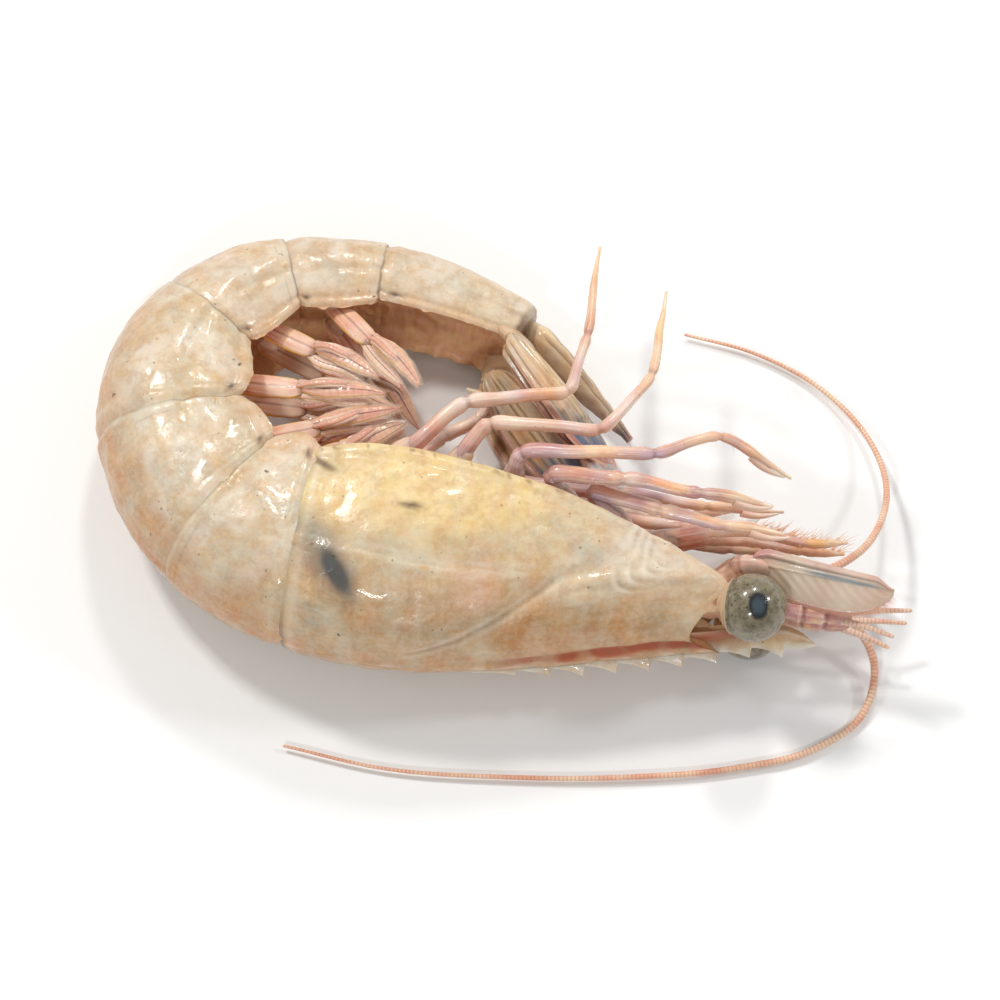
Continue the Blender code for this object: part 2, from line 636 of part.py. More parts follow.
def limb(name, joints, radius, tip, fingers=0.0, root=None):
    """A jointed leg: straight lengths with rounded knees between them, and a pincer if asked."""
    points, radii = [joints[0], joints[0].lerp(joints[1], 0.2)], [radius * LIMB["hip"], radius]
    if root:
        reach = min(LIMB["bend"], (root - joints[0]).length * 0.5)
        before = joints[0] + (root - joints[0]).normalized() * reach
        past = joints[0] + (joints[1] - joints[0]).normalized() * reach
        points[:1] = [root, before, (before + joints[0] * 2 + past) / 4, past]
        radii[:1] = [radius * LIMB["knee"]] * 4
    lengths = len(joints) - 1
    for k, (a, b, c) in enumerate(zip(joints, joints[1:], joints[2:]), start=1):
        thick = radius + (tip - radius) * (k / lengths) ** 0.9
        reach = min(LIMB["bend"], LIMB["bend_share"] * min((b - a).length, (c - b).length))
        before, past = b + (a - b).normalized() * reach, b + (c - b).normalized() * reach
        points += [before, (before + b * 2 + past) / 4, past]
        radii += [thick * LIMB["before"], thick * LIMB["knee"], thick * LIMB["past"]]
    points.append(joints[-1])
    radii.append(tip * 0.55)
    made = tube(name, points, radii, "limb")
    if not fingers:
        return made
    along = (joints[-1] - joints[-2]).normalized()
    aside = along.cross(Vector((0.0, 0.0, 1.0))).normalized()
    root = joints[-2].lerp(joints[-1], 0.45)
    finger_points = [root, root + along * fingers * 0.5 + aside * 0.75, root + along * fingers + aside * 0.5]
    finger = tube(name + "_finger", finger_points, [tip * 1.1, tip * 0.9, tip * 0.45], "limb")
    return fuse(made, finger)


def legs():
    for side, table in (("left", LEFT_LEGS), ("right", RIGHT_LEGS)):
        for k, (hip, *joints) in enumerate(table):
            fingers = FINGER if k < CLAWED_LEGS else 0.0
            places = [at(*hip), *(Vector(joint) for joint in joints)]
            station, _, left = hip[0], hip[1], hip[2] * LEG_ROOT["inward"]
            root = at(station, belly_side(station, left) + LEG_ROOT["gap"], left)
            limb(f"leg_{k + 1}_{side}", places, LEG_RADIUS, LEG_TIP, fingers, root)


def maxillipeds():
    for side, sign in (("left", 1.0), ("right", -1.0)):
        places = [at(station, ventral, left * sign) for station, ventral, left in MAXILLIPED]
        station, ventral, left = MAXILLIPED_ROOT
        limb(f"maxilliped_{side}", places, MAXILLIPED_RADIUS, MAXILLIPED_TIP, root=at(station, ventral, left * sign))


def antennules():
    """Short double feelers on a three-part base, under the beak."""
    spec = ANTENNULE
    end = spec["stations"][-1]
    for side, sign in (("left", 1.0), ("right", -1.0)):
        beside = spec["left"] * sign
        base = [at(station, spec["ventral"], beside) for station in spec["stations"]]
        stem = oval_loft(f"antennule_{side}", base, spec["sizes"], "limb", wide=frame_at(0.0)[3])
        whips = []
        for lean, reach in spec["whips"]:
            root = at(end + 0.8, spec["ventral"] + lean * 0.35, beside)
            tip = at(end - reach, spec["ventral"] + lean * 1.6, beside + reach * 0.22 * sign)
            whips.append(tube(f"whip_{side}_{lean}", [root, tip], spec["whip_radii"], "limb"))
        fuse(stem, *whips)


def scales():
    """The blade-like feeler scales on the outside of the head."""
    _, tail, back, left = frame_at(0.0)
    for side, sign, root in SCALES:
        along = (-tail + left * 0.04 * sign + back * 0.06).normalized()
        across = (left * sign * 0.45 - back * 0.89).normalized()
        face = (left * sign * 0.89 + back * 0.45).normalized()
        blade(f"scale_{side}", SCALE, at(*root), along, across, face, "limb", scale_outline, camber=0.5)


def feelers():
    """Long feelers: a thick socket piece and a whip that thins out."""
    for side, table in (("left", LEFT_FEELER), ("right", RIGHT_FEELER)):
        sockets, path = table
        route = [*(at(*socket) for socket in sockets), *(Vector(point) for point in path)]
        points = through(route, FEELER["points"])
        whip = np.linspace(FEELER["thick"], FEELER["thin"], FEELER["points"] - len(FEELER["socket"]))
        radii = [*FEELER["socket"], *whip]
        tube(f"feeler_{side}", points, radii, "feeler")


# ---------------------------------------------------------------- swimmerets


def swimmerets():
    """A stalk with a soft blade under each of the first five rings, on both sides."""
    starts = segment_starts()
    thick, blade_half = SWIMMERET["thickness"] / 2, SWIMMERET["blade_width"] / 2
    stalk = [SWIMMERET["stalk_width"] / 2 * share for share in SWIMMERET_WIDTHS]
    sizes = [(width, thick) for width in (*stalk, blade_half, blade_half, blade_half * 0.8)]
    sizes.append((0.3, thick * 0.6))
    for side, sign, tips in (("left", 1.0, LEFT_SWIMMERETS), ("right", -1.0, RIGHT_SWIMMERETS)):
        for number, tip in enumerate(tips, start=1):
            station = (starts[number - 1] + starts[number]) / 2
            root = at(station, body(station)[2] - SWIMMERET["sunk"], SWIMMERET["left"] * sign)
            path = [root.lerp(Vector(tip), share) for share in np.linspace(0.0, 1.0, len(sizes))]
            flat = Vector((0.0, 0.0, 1.0)).cross(path[-1] - path[0]).normalized()
            oval_loft(f"swimmeret_{number}_{side}", path, sizes, "limb", flat)


def main():
    for obj in list(bpy.data.objects):
        bpy.data.objects.remove(obj)
    collection = bpy.data.collections.new("king_prawn")
    bpy.context.scene.collection.children.link(collection)
    carapace()
    for number in range(1, len(ABDOMEN) + 1):
        abdomen_segment(number)
    telson()
    uropods()
    head()
    eye("eye_left", EYE["left"][0])
    eye("eye_right", EYE["left"][1])
    antennules()
    scales()
    feelers()
    maxillipeds()
    legs()
    swimmerets()
    root = bpy.data.objects.new("whole_prawn", None)
    root.location = PLAN_SHIFT * MM
    for obj in collection.objects:
        obj.parent = root
    collection.objects.link(root)


main()
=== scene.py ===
# A raw king prawn, whole and unpeeled, lying curled on its right side: its looks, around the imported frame.
# Settings and maths are in millimetres, and become metres in the meshes.
import math

import bpy
import numpy as np
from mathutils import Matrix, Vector


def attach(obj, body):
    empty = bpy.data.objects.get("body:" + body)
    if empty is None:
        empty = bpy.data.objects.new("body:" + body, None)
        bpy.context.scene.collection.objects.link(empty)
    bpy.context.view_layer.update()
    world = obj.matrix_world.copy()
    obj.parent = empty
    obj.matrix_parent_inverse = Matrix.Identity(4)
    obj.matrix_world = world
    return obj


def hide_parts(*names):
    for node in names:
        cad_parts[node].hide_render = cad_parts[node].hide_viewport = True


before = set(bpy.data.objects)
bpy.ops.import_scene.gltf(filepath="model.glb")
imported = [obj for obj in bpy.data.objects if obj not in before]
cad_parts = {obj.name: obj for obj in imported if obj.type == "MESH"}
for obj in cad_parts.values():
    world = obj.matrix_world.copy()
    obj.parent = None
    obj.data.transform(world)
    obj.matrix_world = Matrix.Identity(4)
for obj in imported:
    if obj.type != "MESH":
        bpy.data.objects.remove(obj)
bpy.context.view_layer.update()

mm = 0.001
print("frame loaded")

# the body's axis and sections, as the solids have them
bodyLine = {
    "start": (23.2, -11.1), "heading": 171.7, "headShell": 40.0, "straight": 37.0, "fanBend": 24.0,
    "rings": ((9.1, 35.0), (11.1, 35.0), (13.1, 52.0), (10.1, 39.0), (9.6, 21.0), (16.2, 19.5)),
    "shift": np.array((-3.44, -1.97, 0.0)),
    "flat": 0.3, "widest": 29.5, "headDip": 0.04,
}
section = {
    "roundness": 2.2, "narrowing": 0.2, "backShare": 0.6, "crowding": 1.15, "ridgeWidth": 0.2,
    "flaps": (1.6, 2.4, 2.4, 2.4, 2.0, 1.5, 0.4),  # how far the side flaps hang, on the head and each ring
}
# station, half width, back height, belly depth, roll of the back towards the ground
bodyTable = np.array((
    (-12.0, 3.4, 3.6, 3.6, 9.0),
    (0.0, 5.2, 5.2, 4.4, 9.0),
    (6.5, 6.7, 6.6, 5.5, 9.0),
    (13.5, 8.1, 8.4, 6.8, 9.0),
    (20.0, 9.1, 9.9, 7.7, 9.0),
    (29.5, 9.8, 11.4, 8.8, 8.0),
    (37.0, 9.6, 11.3, 8.8, 6.0),
    (44.0, 9.0, 9.9, 7.8, 4.0),
    (54.0, 8.7, 8.9, 6.6, 2.0),
    (66.0, 8.2, 8.2, 5.9, 0.0),
    (78.0, 7.0, 6.3, 4.3, 0.0),
    (88.0, 6.0, 5.1, 3.6, 4.0),
    (98.0, 5.2, 4.7, 3.7, 10.0),
    (109.0, 4.3, 3.6, 3.1, 16.0),
    (121.0, 4.3, 3.6, 3.1, 20.0),
))
ringStarts = bodyLine["headShell"] + np.concatenate([[0.0], np.cumsum([a for a, b in bodyLine["rings"]])])
tailEnd = ringStarts[-1]


def smooth(knots, values, x):
    # a smooth curve through (knots, values), read at x
    knots, values, x = np.asarray(knots, float), np.asarray(values, float), np.asarray(x, float)
    slopes = np.gradient(values, knots)
    i = np.clip(np.searchsorted(knots, x) - 1, 0, len(knots) - 2)
    step = knots[i + 1] - knots[i]
    t = np.clip((x - knots[i]) / step, 0.0, 1.0)
    return (
        (2 * t**3 - 3 * t**2 + 1) * values[i]
        + (t**3 - 2 * t**2 + t) * step * slopes[i]
        + (3 * t**2 - 2 * t**3) * values[i + 1]
        + (t**3 - t**2) * step * slopes[i + 1]
    )


def bodyAt(station):
    return [smooth(bodyTable[:, 0], bodyTable[:, k], station) for k in range(1, 5)]


def axisHeight(station):
    station = np.asarray(station, float)
    halfWidth, back, _, roll = bodyAt(np.maximum(station, bodyLine["widest"]))
    sideways = halfWidth * np.cos(np.radians(roll))
    backward = back * np.sin(np.radians(roll))
    power = section["roundness"] / (section["roundness"] - 1)
    reach = (sideways**power + np.abs(backward) ** power) ** (1 / power)
    return reach - bodyLine["flat"] - bodyLine["headDip"] * np.maximum(0.0, bodyLine["widest"] - station)


def makeAxis(step=0.1):
    bends = [bend / length for length, bend in bodyLine["rings"]]
    knots = [bodyLine["straight"], *((ringStarts[:-1] + ringStarts[1:]) / 2), tailEnd]
    stations = np.arange(-40.0, tailEnd + 40.0, step)
    turned = np.cumsum(np.interp(stations, knots, [0.0, *bends, bends[-1]], right=0.0)) * step
    headings = bodyLine["heading"] - turned
    x = np.cumsum(np.cos(np.radians(headings))) * step
    y = np.cumsum(np.sin(np.radians(headings))) * step
    x += bodyLine["start"][0] - np.interp(0.0, stations, x)
    y += bodyLine["start"][1] - np.interp(0.0, stations, y)
    return stations, headings, x, y


axisLine = makeAxis()


def frameAt(station, extraBend=0.0):
    # (place, towards the tail, towards the back, towards the left) at the stations
    station = np.asarray(station, float)
    stations, headings, x, y = axisLine
    heading = np.radians(np.interp(station, stations, headings) - extraBend)
    roll = np.radians(bodyAt(station)[3])[..., None]
    flat = [np.interp(station, stations, x), np.interp(station, stations, y), axisHeight(station)]
    place = np.stack(flat, -1) + bodyLine["shift"]
    zero = np.zeros_like(heading)
    tail = np.stack([np.cos(heading), np.sin(heading), zero], -1)
    flatBack = np.stack([-np.sin(heading), np.cos(heading), zero], -1)
    up = np.array((0.0, 0.0, 1.0))
    back = flatBack * np.cos(roll) - up * np.sin(roll)
    return place, tail, back, up * np.cos(roll) + flatBack * np.sin(roll)


def bodyPoint(station, ventral, left):
    place, _, back, leftWay = frameAt(station)
    return place - back * ventral + leftWay * left


def skin(station, around, inset=0.0, flap=0.0, ridge=0.0):
    # points of a plate's outside; around runs from -1 at the left flap to 1 at the right one
    station, around = np.broadcast_arrays(np.asarray(station, float), np.asarray(around, float))
    halfWidth, back, belly, _ = bodyAt(station)
    halfWidth, back, edge = halfWidth - inset, back - inset, belly + flap - inset
    share = np.abs(around) ** section["crowding"]
    angle = np.clip(share / section["backShare"], 0.0, 1.0) * math.pi / 2
    down = np.clip((share - section["backShare"]) / (1 - section["backShare"]), 0.0, 1.0)
    power = 2 / section["roundness"]
    onBack = share < section["backShare"]
    crest = ridge * np.exp(-((angle / section["ridgeWidth"]) ** 2))
    sides = halfWidth * (1 - section["narrowing"] * down**2)
    across = np.where(onBack, halfWidth * np.sin(angle) ** power, sides)
    up = np.where(onBack, back * np.clip(np.cos(angle), 0, 1) ** power + crest, -edge * down)
    place, _, backWay, leftWay = frameAt(station)
    points = place + leftWay * (-np.sign(around) * across)[..., None] + backWay * up[..., None]
    return points, place, backWay, leftWay


def unit(v):
    return v / np.maximum(np.linalg.norm(v, axis=-1, keepdims=True), 1e-9)


def bump(x, width):
    return np.exp(-((np.asarray(x) / width) ** 2))


def step(x, low, high):
    t = np.clip((np.asarray(x, float) - low) / (high - low), 0.0, 1.0)
    return t * t * (3 - 2 * t)


def ripple(points, size, seed):
    # a smooth random field between about -1 and 1, with waves of about this size
    waves = np.random.default_rng(seed)
    total = np.zeros(points.shape[:-1])
    for _ in range(14):
        way = unit(waves.normal(size=3)) * 2 * math.pi / (size * waves.uniform(0.6, 1.7))
        total += np.sin(points @ way + waves.uniform(0, 2 * math.pi))
    return total / 3.2


def pathDistance(u, v, path):
    # distance of the flat points (u, v) from an open path, and how far along it they are, 0 to 1
    best, where = np.full(u.shape, 1e9), np.zeros(u.shape)
    path = np.asarray(path, float)
    for k, (a, b) in enumerate(zip(path, path[1:])):
        way = b - a
        t = np.clip(((u - a[0]) * way[0] + (v - a[1]) * way[1]) / (way @ way), 0.0, 1.0)
        d = np.hypot(u - a[0] - way[0] * t, v - a[1] - way[1] * t)
        where = np.where(d < best, (k + t) / (len(path) - 1), where)
        best = np.minimum(best, d)
    return best, where


def gridMesh(points, values=None, wrap=True, capStart=True, capEnd=True):
    # a mesh over rows of points; wrap closes each row to a ring. Returns (points, faces, values)
    rows, count, _ = points.shape
    flat = [points.reshape(-1, 3)]
    index = np.arange(rows * count).reshape(rows, count)
    nextOnes = np.roll(index, -1, axis=1) if wrap else index[:, 1:]
    ones = index if wrap else index[:, :-1]
    faces = np.stack([ones[:-1], nextOnes[:-1], nextOnes[1:], ones[1:]], -1).reshape(-1, 4).tolist()
    values = {
        name: np.broadcast_to(v, (rows, count)).reshape(-1).astype(float)
        for name, v in (values or {}).items()
    }
    for row, wanted, flip in ((0, capStart, True), (rows - 1, capEnd, False)):
        if not (wanted and wrap):
            continue
        middle = sum(len(f) for f in flat)
        flat.append(points[row].mean(0, keepdims=True))
        for name in values:
            values[name] = np.append(values[name], values[name][index[row]].mean())
        for i in range(count):
            a, b = index[row, i], index[row, (i + 1) % count]
            faces.append([b, a, middle] if flip else [a, b, middle])
    return np.concatenate(flat), faces, values


def signedVolume(points, faces):
    quads = np.array([f if len(f) == 4 else [*f, f[2]] for f in faces])
    centre = points.mean(0)
    a, b, c, d = (points[quads[:, k]] - centre for k in range(4))
    return (np.einsum("ij,ij->i", a, np.cross(b, c)) + np.einsum("ij,ij->i", a, np.cross(c, d))).sum()


def joined(parts):
    # several closed skins as one list of points, faces and values
    points, faces, names = [], [], sorted({name for part in parts for name in part[2]})
    values, offset = {name: [] for name in names}, 0
    for somePoints, someFaces, someValues in parts:
        if signedVolume(somePoints, someFaces) < 0:
            someFaces = [face[::-1] for face in someFaces]
        faces += [[i + offset for i in face] for face in someFaces]
        points.append(somePoints)
        offset += len(somePoints)
        for name in names:
            values[name].append(someValues.get(name, np.zeros(len(somePoints))))
    return np.concatenate(points), faces, {name: np.concatenate(v) for name, v in values.items()}


def addPiece(name, parts, finish, slot, *nodes, sharp=50.0):
    points, faces, values = joined(parts)
    mesh = bpy.data.meshes.new(name)
    mesh.from_pydata((points * mm).tolist(), [], faces)
    for key, numbers in values.items():
        mesh.attributes.new(key, "FLOAT", "POINT").data.foreach_set("value", numbers.astype(np.float32))
    mesh.materials.append(finish)
    mesh.shade_smooth()
    mesh.set_sharp_from_angle(angle=math.radians(sharp))
    piece = bpy.data.objects.new(name, mesh)
    bpy.context.scene.collection.objects.link(piece)
    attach(piece, "root")
    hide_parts(*nodes)
    return piece


def turningFrames(path, wide):
    # (along, across, through) at each point of the path, turning as little as they can
    along = unit(np.gradient(path, axis=0))
    across = np.empty_like(along)
    last = np.asarray(wide, float)
    for i, way in enumerate(along):
        last = unit(last - way * (last @ way))
        across[i] = last
    return along, across, np.cross(along, across)


def sweep(path, halfWidths, halfThicks, wide, sides=16, values=None, roundTip=True):
    # a closed body with oval sections along a path
    path = np.asarray(path, float)
    sizes = (np.asarray(v, float) for v in (halfWidths, halfThicks))
    halfWidths, halfThicks = (np.broadcast_to(v, len(path)) for v in sizes)
    along, across, through = turningFrames(path, wide)
    angle = 2 * math.pi * np.arange(sides) / sides
    rings = (
        path[:, None]
        + across[:, None] * (halfWidths[:, None] * np.cos(angle))[..., None]
        + through[:, None] * (halfThicks[:, None] * np.sin(angle))[..., None]
    )
    if roundTip:
        tip = path[-1] + along[-1] * halfThicks[-1] * 0.8
        extra = tip + (rings[-1] - path[-1]) * 0.45
        rings = np.concatenate([rings, extra[None]])
    length = np.concatenate([[0.0], np.cumsum(np.linalg.norm(np.diff(path, axis=0), axis=1))])
    share = length / length[-1]
    given = {"along": share, "distance": length, **(values or {})}
    grown = {}
    for name, v in given.items():
        v = np.broadcast_to(v, len(path))
        grown[name] = np.append(v, v[-1])[: len(rings), None] if roundTip else v[:, None]
    grown["around"] = np.cos(angle)[None]
    grown["topSide"] = np.sin(angle)[None]
    return gridMesh(rings, grown)


def through(points, count):
    # count points, evenly spaced, on a smooth curve through the given ones
    points = np.asarray(points, float)
    knots = np.concatenate([[0.0], np.cumsum(np.linalg.norm(np.diff(points, axis=0), axis=1))])
    x = np.linspace(0.0, knots[-1], count)
    return np.stack([smooth(knots, points[:, k], x) for k in range(3)], -1)


def bristles(roots, ways, lengths, thickness, droop=(0.0, 0.0, -1.0), curl=0.15, values=None):
    # fine tapering hairs, three-sided, each bent a little
    roots, ways = np.asarray(roots, float), unit(np.asarray(ways, float))
    count = len(roots)
    lengths = np.broadcast_to(np.asarray(lengths, float), count)
    shares = np.array((0.0, 0.35, 0.7, 1.0))
    side = unit(np.cross(ways, np.array((0.31, 0.47, 0.83))))
    other = np.cross(ways, side)
    points, faces = [], []
    for t in shares:
        spine = roots + ways * (lengths * t)[:, None] + np.asarray(droop) * (lengths * curl * t * t)[:, None]
        radius = thickness * (1 - 0.85 * t)
        for corner in range(3):
            angle = 2 * math.pi * corner / 3
            points.append(spine + (side * math.cos(angle) + other * math.sin(angle)) * radius)
    points = np.stack(points, 1)  # hair, point
    body = []
    for row in (0, 3, 6):
        for corner in range(3):
            after = (corner + 1) % 3
            body.append([row + corner, row + after, row + 3 + after, row + 3 + corner])
    body += [[2, 1, 0], [9, 10, 11]]
    for hair in range(count):
        faces += [[i + hair * 12 for i in face] for face in body]
    tipShare = np.tile(np.repeat(shares, 3), count)
    given = {name: np.full(count * 12, float(v)) for name, v in (values or {}).items()}
    return points.reshape(-1, 3), faces, {"hair": np.ones(count * 12), "hairTip": tipShare, **given}


def addNode(tree, kind, inputs=None, **settings):
    node = tree.nodes.new(kind)
    for name, value in settings.items():
        setattr(node, name, value)
    for name, value in (inputs or {}).items():
        socket = node.inputs[name]
        if isinstance(value, bpy.types.NodeSocket):
            tree.links.new(value, socket)
        else:
            socket.default_value = value
    return node


def newGroup(name, inputs, outputs):
    tree = bpy.data.node_groups.new(name, "ShaderNodeTree")
    for label, kind, start in inputs:
        socket = tree.interface.new_socket(label, in_out="INPUT", socket_type=kind)
        if start is not None:
            socket.default_value = start
    for label, kind in outputs:
        tree.interface.new_socket(label, in_out="OUTPUT", socket_type=kind)
    return tree, tree.nodes.new("NodeGroupInput").outputs, tree.nodes.new("NodeGroupOutput").inputs


def maths(tree, operation, a, b=0.0, c=0.0):
    return addNode(tree, "ShaderNodeMath", {0: a, 1: b, 2: c}, operation=operation).outputs[0]


def rescale(tree, value, low, high, toLow=0.0, toHigh=1.0, kind="SMOOTHSTEP"):
    inputs = {"Value": value, "From Min": low, "From Max": high, "To Min": toLow, "To Max": toHigh}
    return addNode(tree, "ShaderNodeMapRange", inputs, interpolation_type=kind).outputs["Result"]


def vectorMaths(tree, operation, a, b=None, scale=None):
    inputs = {0: a}
    if b is not None:
        inputs[1] = b
    if scale is not None:
        inputs["Scale"] = scale
    return addNode(tree, "ShaderNodeVectorMath", inputs, operation=operation).outputs["Vector"]


def cloudyPatches():
    # soft uneven clouds: Size in millimetres, Amount the share that is covered, Edge how soft they are
    tree, given, out = newGroup(
        "cloudyPatches",
        (("Vector", "NodeSocketVector", None), ("Size", "NodeSocketFloat", 4.0),
         ("Amount", "NodeSocketFloat", 0.5), ("Edge", "NodeSocketFloat", 0.12)),
        (("Mask", "NodeSocketFloat"),),
    )
    place = vectorMaths(tree, "SCALE", given["Vector"], scale=maths(tree, "DIVIDE", 1.0, given["Size"]))
    noise = addNode(tree, "ShaderNodeTexNoise", {
        "Vector": place, "Scale": 1.0, "Detail": 4.0, "Roughness": 0.58})
    level = maths(tree, "SUBTRACT", 1.0, given["Amount"])
    low = maths(tree, "SUBTRACT", level, given["Edge"])
    high = maths(tree, "ADD", level, given["Edge"])
    spread = rescale(tree, noise.outputs["Fac"], 0.28, 0.72, kind="LINEAR")
    tree.links.new(rescale(tree, spread, low, high), out["Mask"])
    return tree


def fineSpecks():
    # small dark dots, a share of them missing: Spacing and Size in millimetres
    tree, given, out = newGroup(
        "fineSpecks",
        (("Vector", "NodeSocketVector", None), ("Spacing", "NodeSocketFloat", 1.5),
         ("Size", "NodeSocketFloat", 0.2), ("Amount", "NodeSocketFloat", 0.5)),
        (("Mask", "NodeSocketFloat"),),
    )
    place = vectorMaths(tree, "SCALE", given["Vector"], scale=maths(tree, "DIVIDE", 1.0, given["Spacing"]))
    warp = addNode(tree, "ShaderNodeTexNoise", {"Vector": given["Vector"], "Scale": 2.4, "Detail": 2.0})
    place = vectorMaths(tree, "ADD", place, vectorMaths(tree, "SCALE", warp.outputs["Color"], scale=0.22))
    cells = addNode(tree, "ShaderNodeTexVoronoi", {"Vector": place, "Scale": 1.0, "Randomness": 1.0})
    lot = addNode(tree, "ShaderNodeSeparateColor", {"Color": cells.outputs["Color"]})
    reach = maths(tree, "DIVIDE", given["Size"], given["Spacing"])
    reach = maths(tree, "MULTIPLY", reach, rescale(tree, lot.outputs["Green"], 0.0, 1.0, 0.35, 1.0, "LINEAR"))
    dot = rescale(tree, cells.outputs["Distance"], maths(tree, "MULTIPLY", reach, 0.4), reach, 1.0, 0.0)
    kept = maths(tree, "LESS_THAN", lot.outputs["Red"], given["Amount"])
    tree.links.new(maths(tree, "MULTIPLY", dot, kept), out["Mask"])
    return tree


def muscleGrain():
    # fine streaks that run along the body: the flesh that shows through the shell
    tree, given, out = newGroup(
        "muscleGrain",
        (("Along", "NodeSocketFloat", 0.0), ("Across", "NodeSocketFloat", 0.0),
         ("Length", "NodeSocketFloat", 6.0), ("Width", "NodeSocketFloat", 0.5)),
        (("Mask", "NodeSocketFloat"),),
    )
    place = addNode(tree, "ShaderNodeCombineXYZ", {
        "X": maths(tree, "DIVIDE", given["Along"], given["Length"]),
        "Y": maths(tree, "DIVIDE", given["Across"], given["Width"]),
    })
    noise = addNode(tree, "ShaderNodeTexNoise", {"Vector": place.outputs[0], "Scale": 1.0, "Detail": 3.0})
    tree.links.new(rescale(tree, noise.outputs["Fac"], 0.35, 0.68), out["Mask"])
    return tree


def wetRelief():
    # the height of a wet skin in millimetres: slow ripples, and fine pores under them
    tree, given, out = newGroup(
        "wetRelief",
        (("Vector", "NodeSocketVector", None), ("Ripple Size", "NodeSocketFloat", 2.2),
         ("Ripple Height", "NodeSocketFloat", 0.08), ("Pore Size", "NodeSocketFloat", 0.3),
         ("Pore Depth", "NodeSocketFloat", 0.015)),
        (("Height", "NodeSocketFloat"), ("Dryness", "NodeSocketFloat")),
    )
    slow = vectorMaths(tree, "SCALE", given["Vector"], scale=maths(tree, "DIVIDE", 1.0, given["Ripple Size"]))
    waves = addNode(tree, "ShaderNodeTexNoise", {
        "Vector": slow, "Scale": 1.0, "Detail": 3.0, "Roughness": 0.5})
    fast = vectorMaths(tree, "SCALE", given["Vector"], scale=maths(tree, "DIVIDE", 1.0, given["Pore Size"]))
    pores = addNode(tree, "ShaderNodeTexVoronoi", {"Vector": fast, "Scale": 1.0, "Randomness": 1.0})
    pit = rescale(tree, pores.outputs["Distance"], 0.0, 0.5, -1.0, 0.0)
    height = maths(tree, "MULTIPLY", waves.outputs["Fac"], given["Ripple Height"])
    height = maths(tree, "MULTIPLY_ADD", pit, given["Pore Depth"], height)
    tree.links.new(height, out["Height"])
    tree.links.new(rescale(tree, waves.outputs["Fac"], 0.4, 0.66), out["Dryness"])
    return tree


groups = {"clouds": cloudyPatches(), "specks": fineSpecks(), "grain": muscleGrain(), "wet": wetRelief()}


class Finish:
    # a material being wired: its tree, its place in millimetres and the colour mixed so far
    def __init__(self, name, baseColour, shader):
        self.material = bpy.data.materials.new(name)
        self.material.use_nodes = True
        self.tree = self.material.node_tree
        self.shader = self.tree.nodes["Principled BSDF"]
        for label, value in shader.items():
            self.shader.inputs[label].default_value = value
        coordinates = addNode(self.tree, "ShaderNodeTexCoord")
        self.place = vectorMaths(self.tree, "SCALE", coordinates.outputs["Object"], scale=1 / mm)
        self.colour = addNode(self.tree, "ShaderNodeRGB")
        self.colour.outputs[0].default_value = (*baseColour, 1.0)
        self.colour = self.colour.outputs[0]

    def value(self, name):
        return addNode(self.tree, "ShaderNodeAttribute", attribute_name=name).outputs["Fac"]

    def group(self, name, output="Mask", **inputs):
        node = addNode(self.tree, "ShaderNodeGroup", node_tree=groups[name])
        for label, value in inputs.items():
            socket = node.inputs[label.replace("_", " ")]
            if isinstance(value, bpy.types.NodeSocket):
                self.tree.links.new(value, socket)
            else:
                socket.default_value = value
        if "Vector" in node.inputs and "Vector" not in inputs:
            self.tree.links.new(self.place, node.inputs["Vector"])
        return node.outputs[output]

    def times(self, *masks):
        total = masks[0]
        for mask in masks[1:]:
            total = maths(self.tree, "MULTIPLY", total, mask)
        return total

    def ramp(self, value, low, high, toLow=0.0, toHigh=1.0):
        return rescale(self.tree, value, low, high, toLow, toHigh)

    def paint(self, mask, colour, mode="MIX"):
        inputs = {0: mask, 6: self.colour, 7: (*colour, 1.0)}
        mix = addNode(self.tree, "ShaderNodeMix", inputs, data_type="RGBA", blend_type=mode)
        self.colour = mix.outputs[2]

    def finish(self, roughLow, roughHigh, strength=1.0, **wet):
        node = addNode(self.tree, "ShaderNodeGroup", node_tree=groups["wet"])
        self.tree.links.new(self.place, node.inputs["Vector"])
        for label, value in wet.items():
            node.inputs[label.replace("_", " ")].default_value = value
        height = maths(self.tree, "MULTIPLY", node.outputs["Height"], mm)
        relief = addNode(self.tree, "ShaderNodeBump", {
            "Height": height, "Distance": 1.0, "Strength": strength})
        self.tree.links.new(relief.outputs["Normal"], self.shader.inputs["Normal"])
        rough = rescale(self.tree, node.outputs["Dryness"], 0.0, 1.0, roughLow, roughHigh)
        self.tree.links.new(rough, self.shader.inputs["Roughness"])
        self.tree.links.new(self.colour, self.shader.inputs["Base Color"])
        return self.material


wetShader = {
    "Subsurface Weight": 0.3, "Subsurface Radius": (1.0, 0.62, 0.38), "Subsurface Scale": 0.0012,
    "IOR": 1.38, "Coat Weight": 0.3, "Coat Roughness": 0.045, "Coat IOR": 1.34,
}
shellTones = {
    "flesh": (0.575, 0.415, 0.225), "milky": (0.69, 0.61, 0.46), "blueGrey": (0.375, 0.39, 0.325),
    "tan": (0.42, 0.21, 0.07), "cream": (0.82, 0.61, 0.27), "peach": (0.56, 0.205, 0.048),
    "rim": (0.84, 0.75, 0.60), "brown": (0.09, 0.04, 0.018), "slate": (0.045, 0.06, 0.07),
    "pink": (0.68, 0.29, 0.20), "rust": (0.42, 0.095, 0.04), "pearl": (0.76, 0.69, 0.59),
    "belly": (0.80, 0.46, 0.26), "ochre": (0.66, 0.36, 0.11),
}


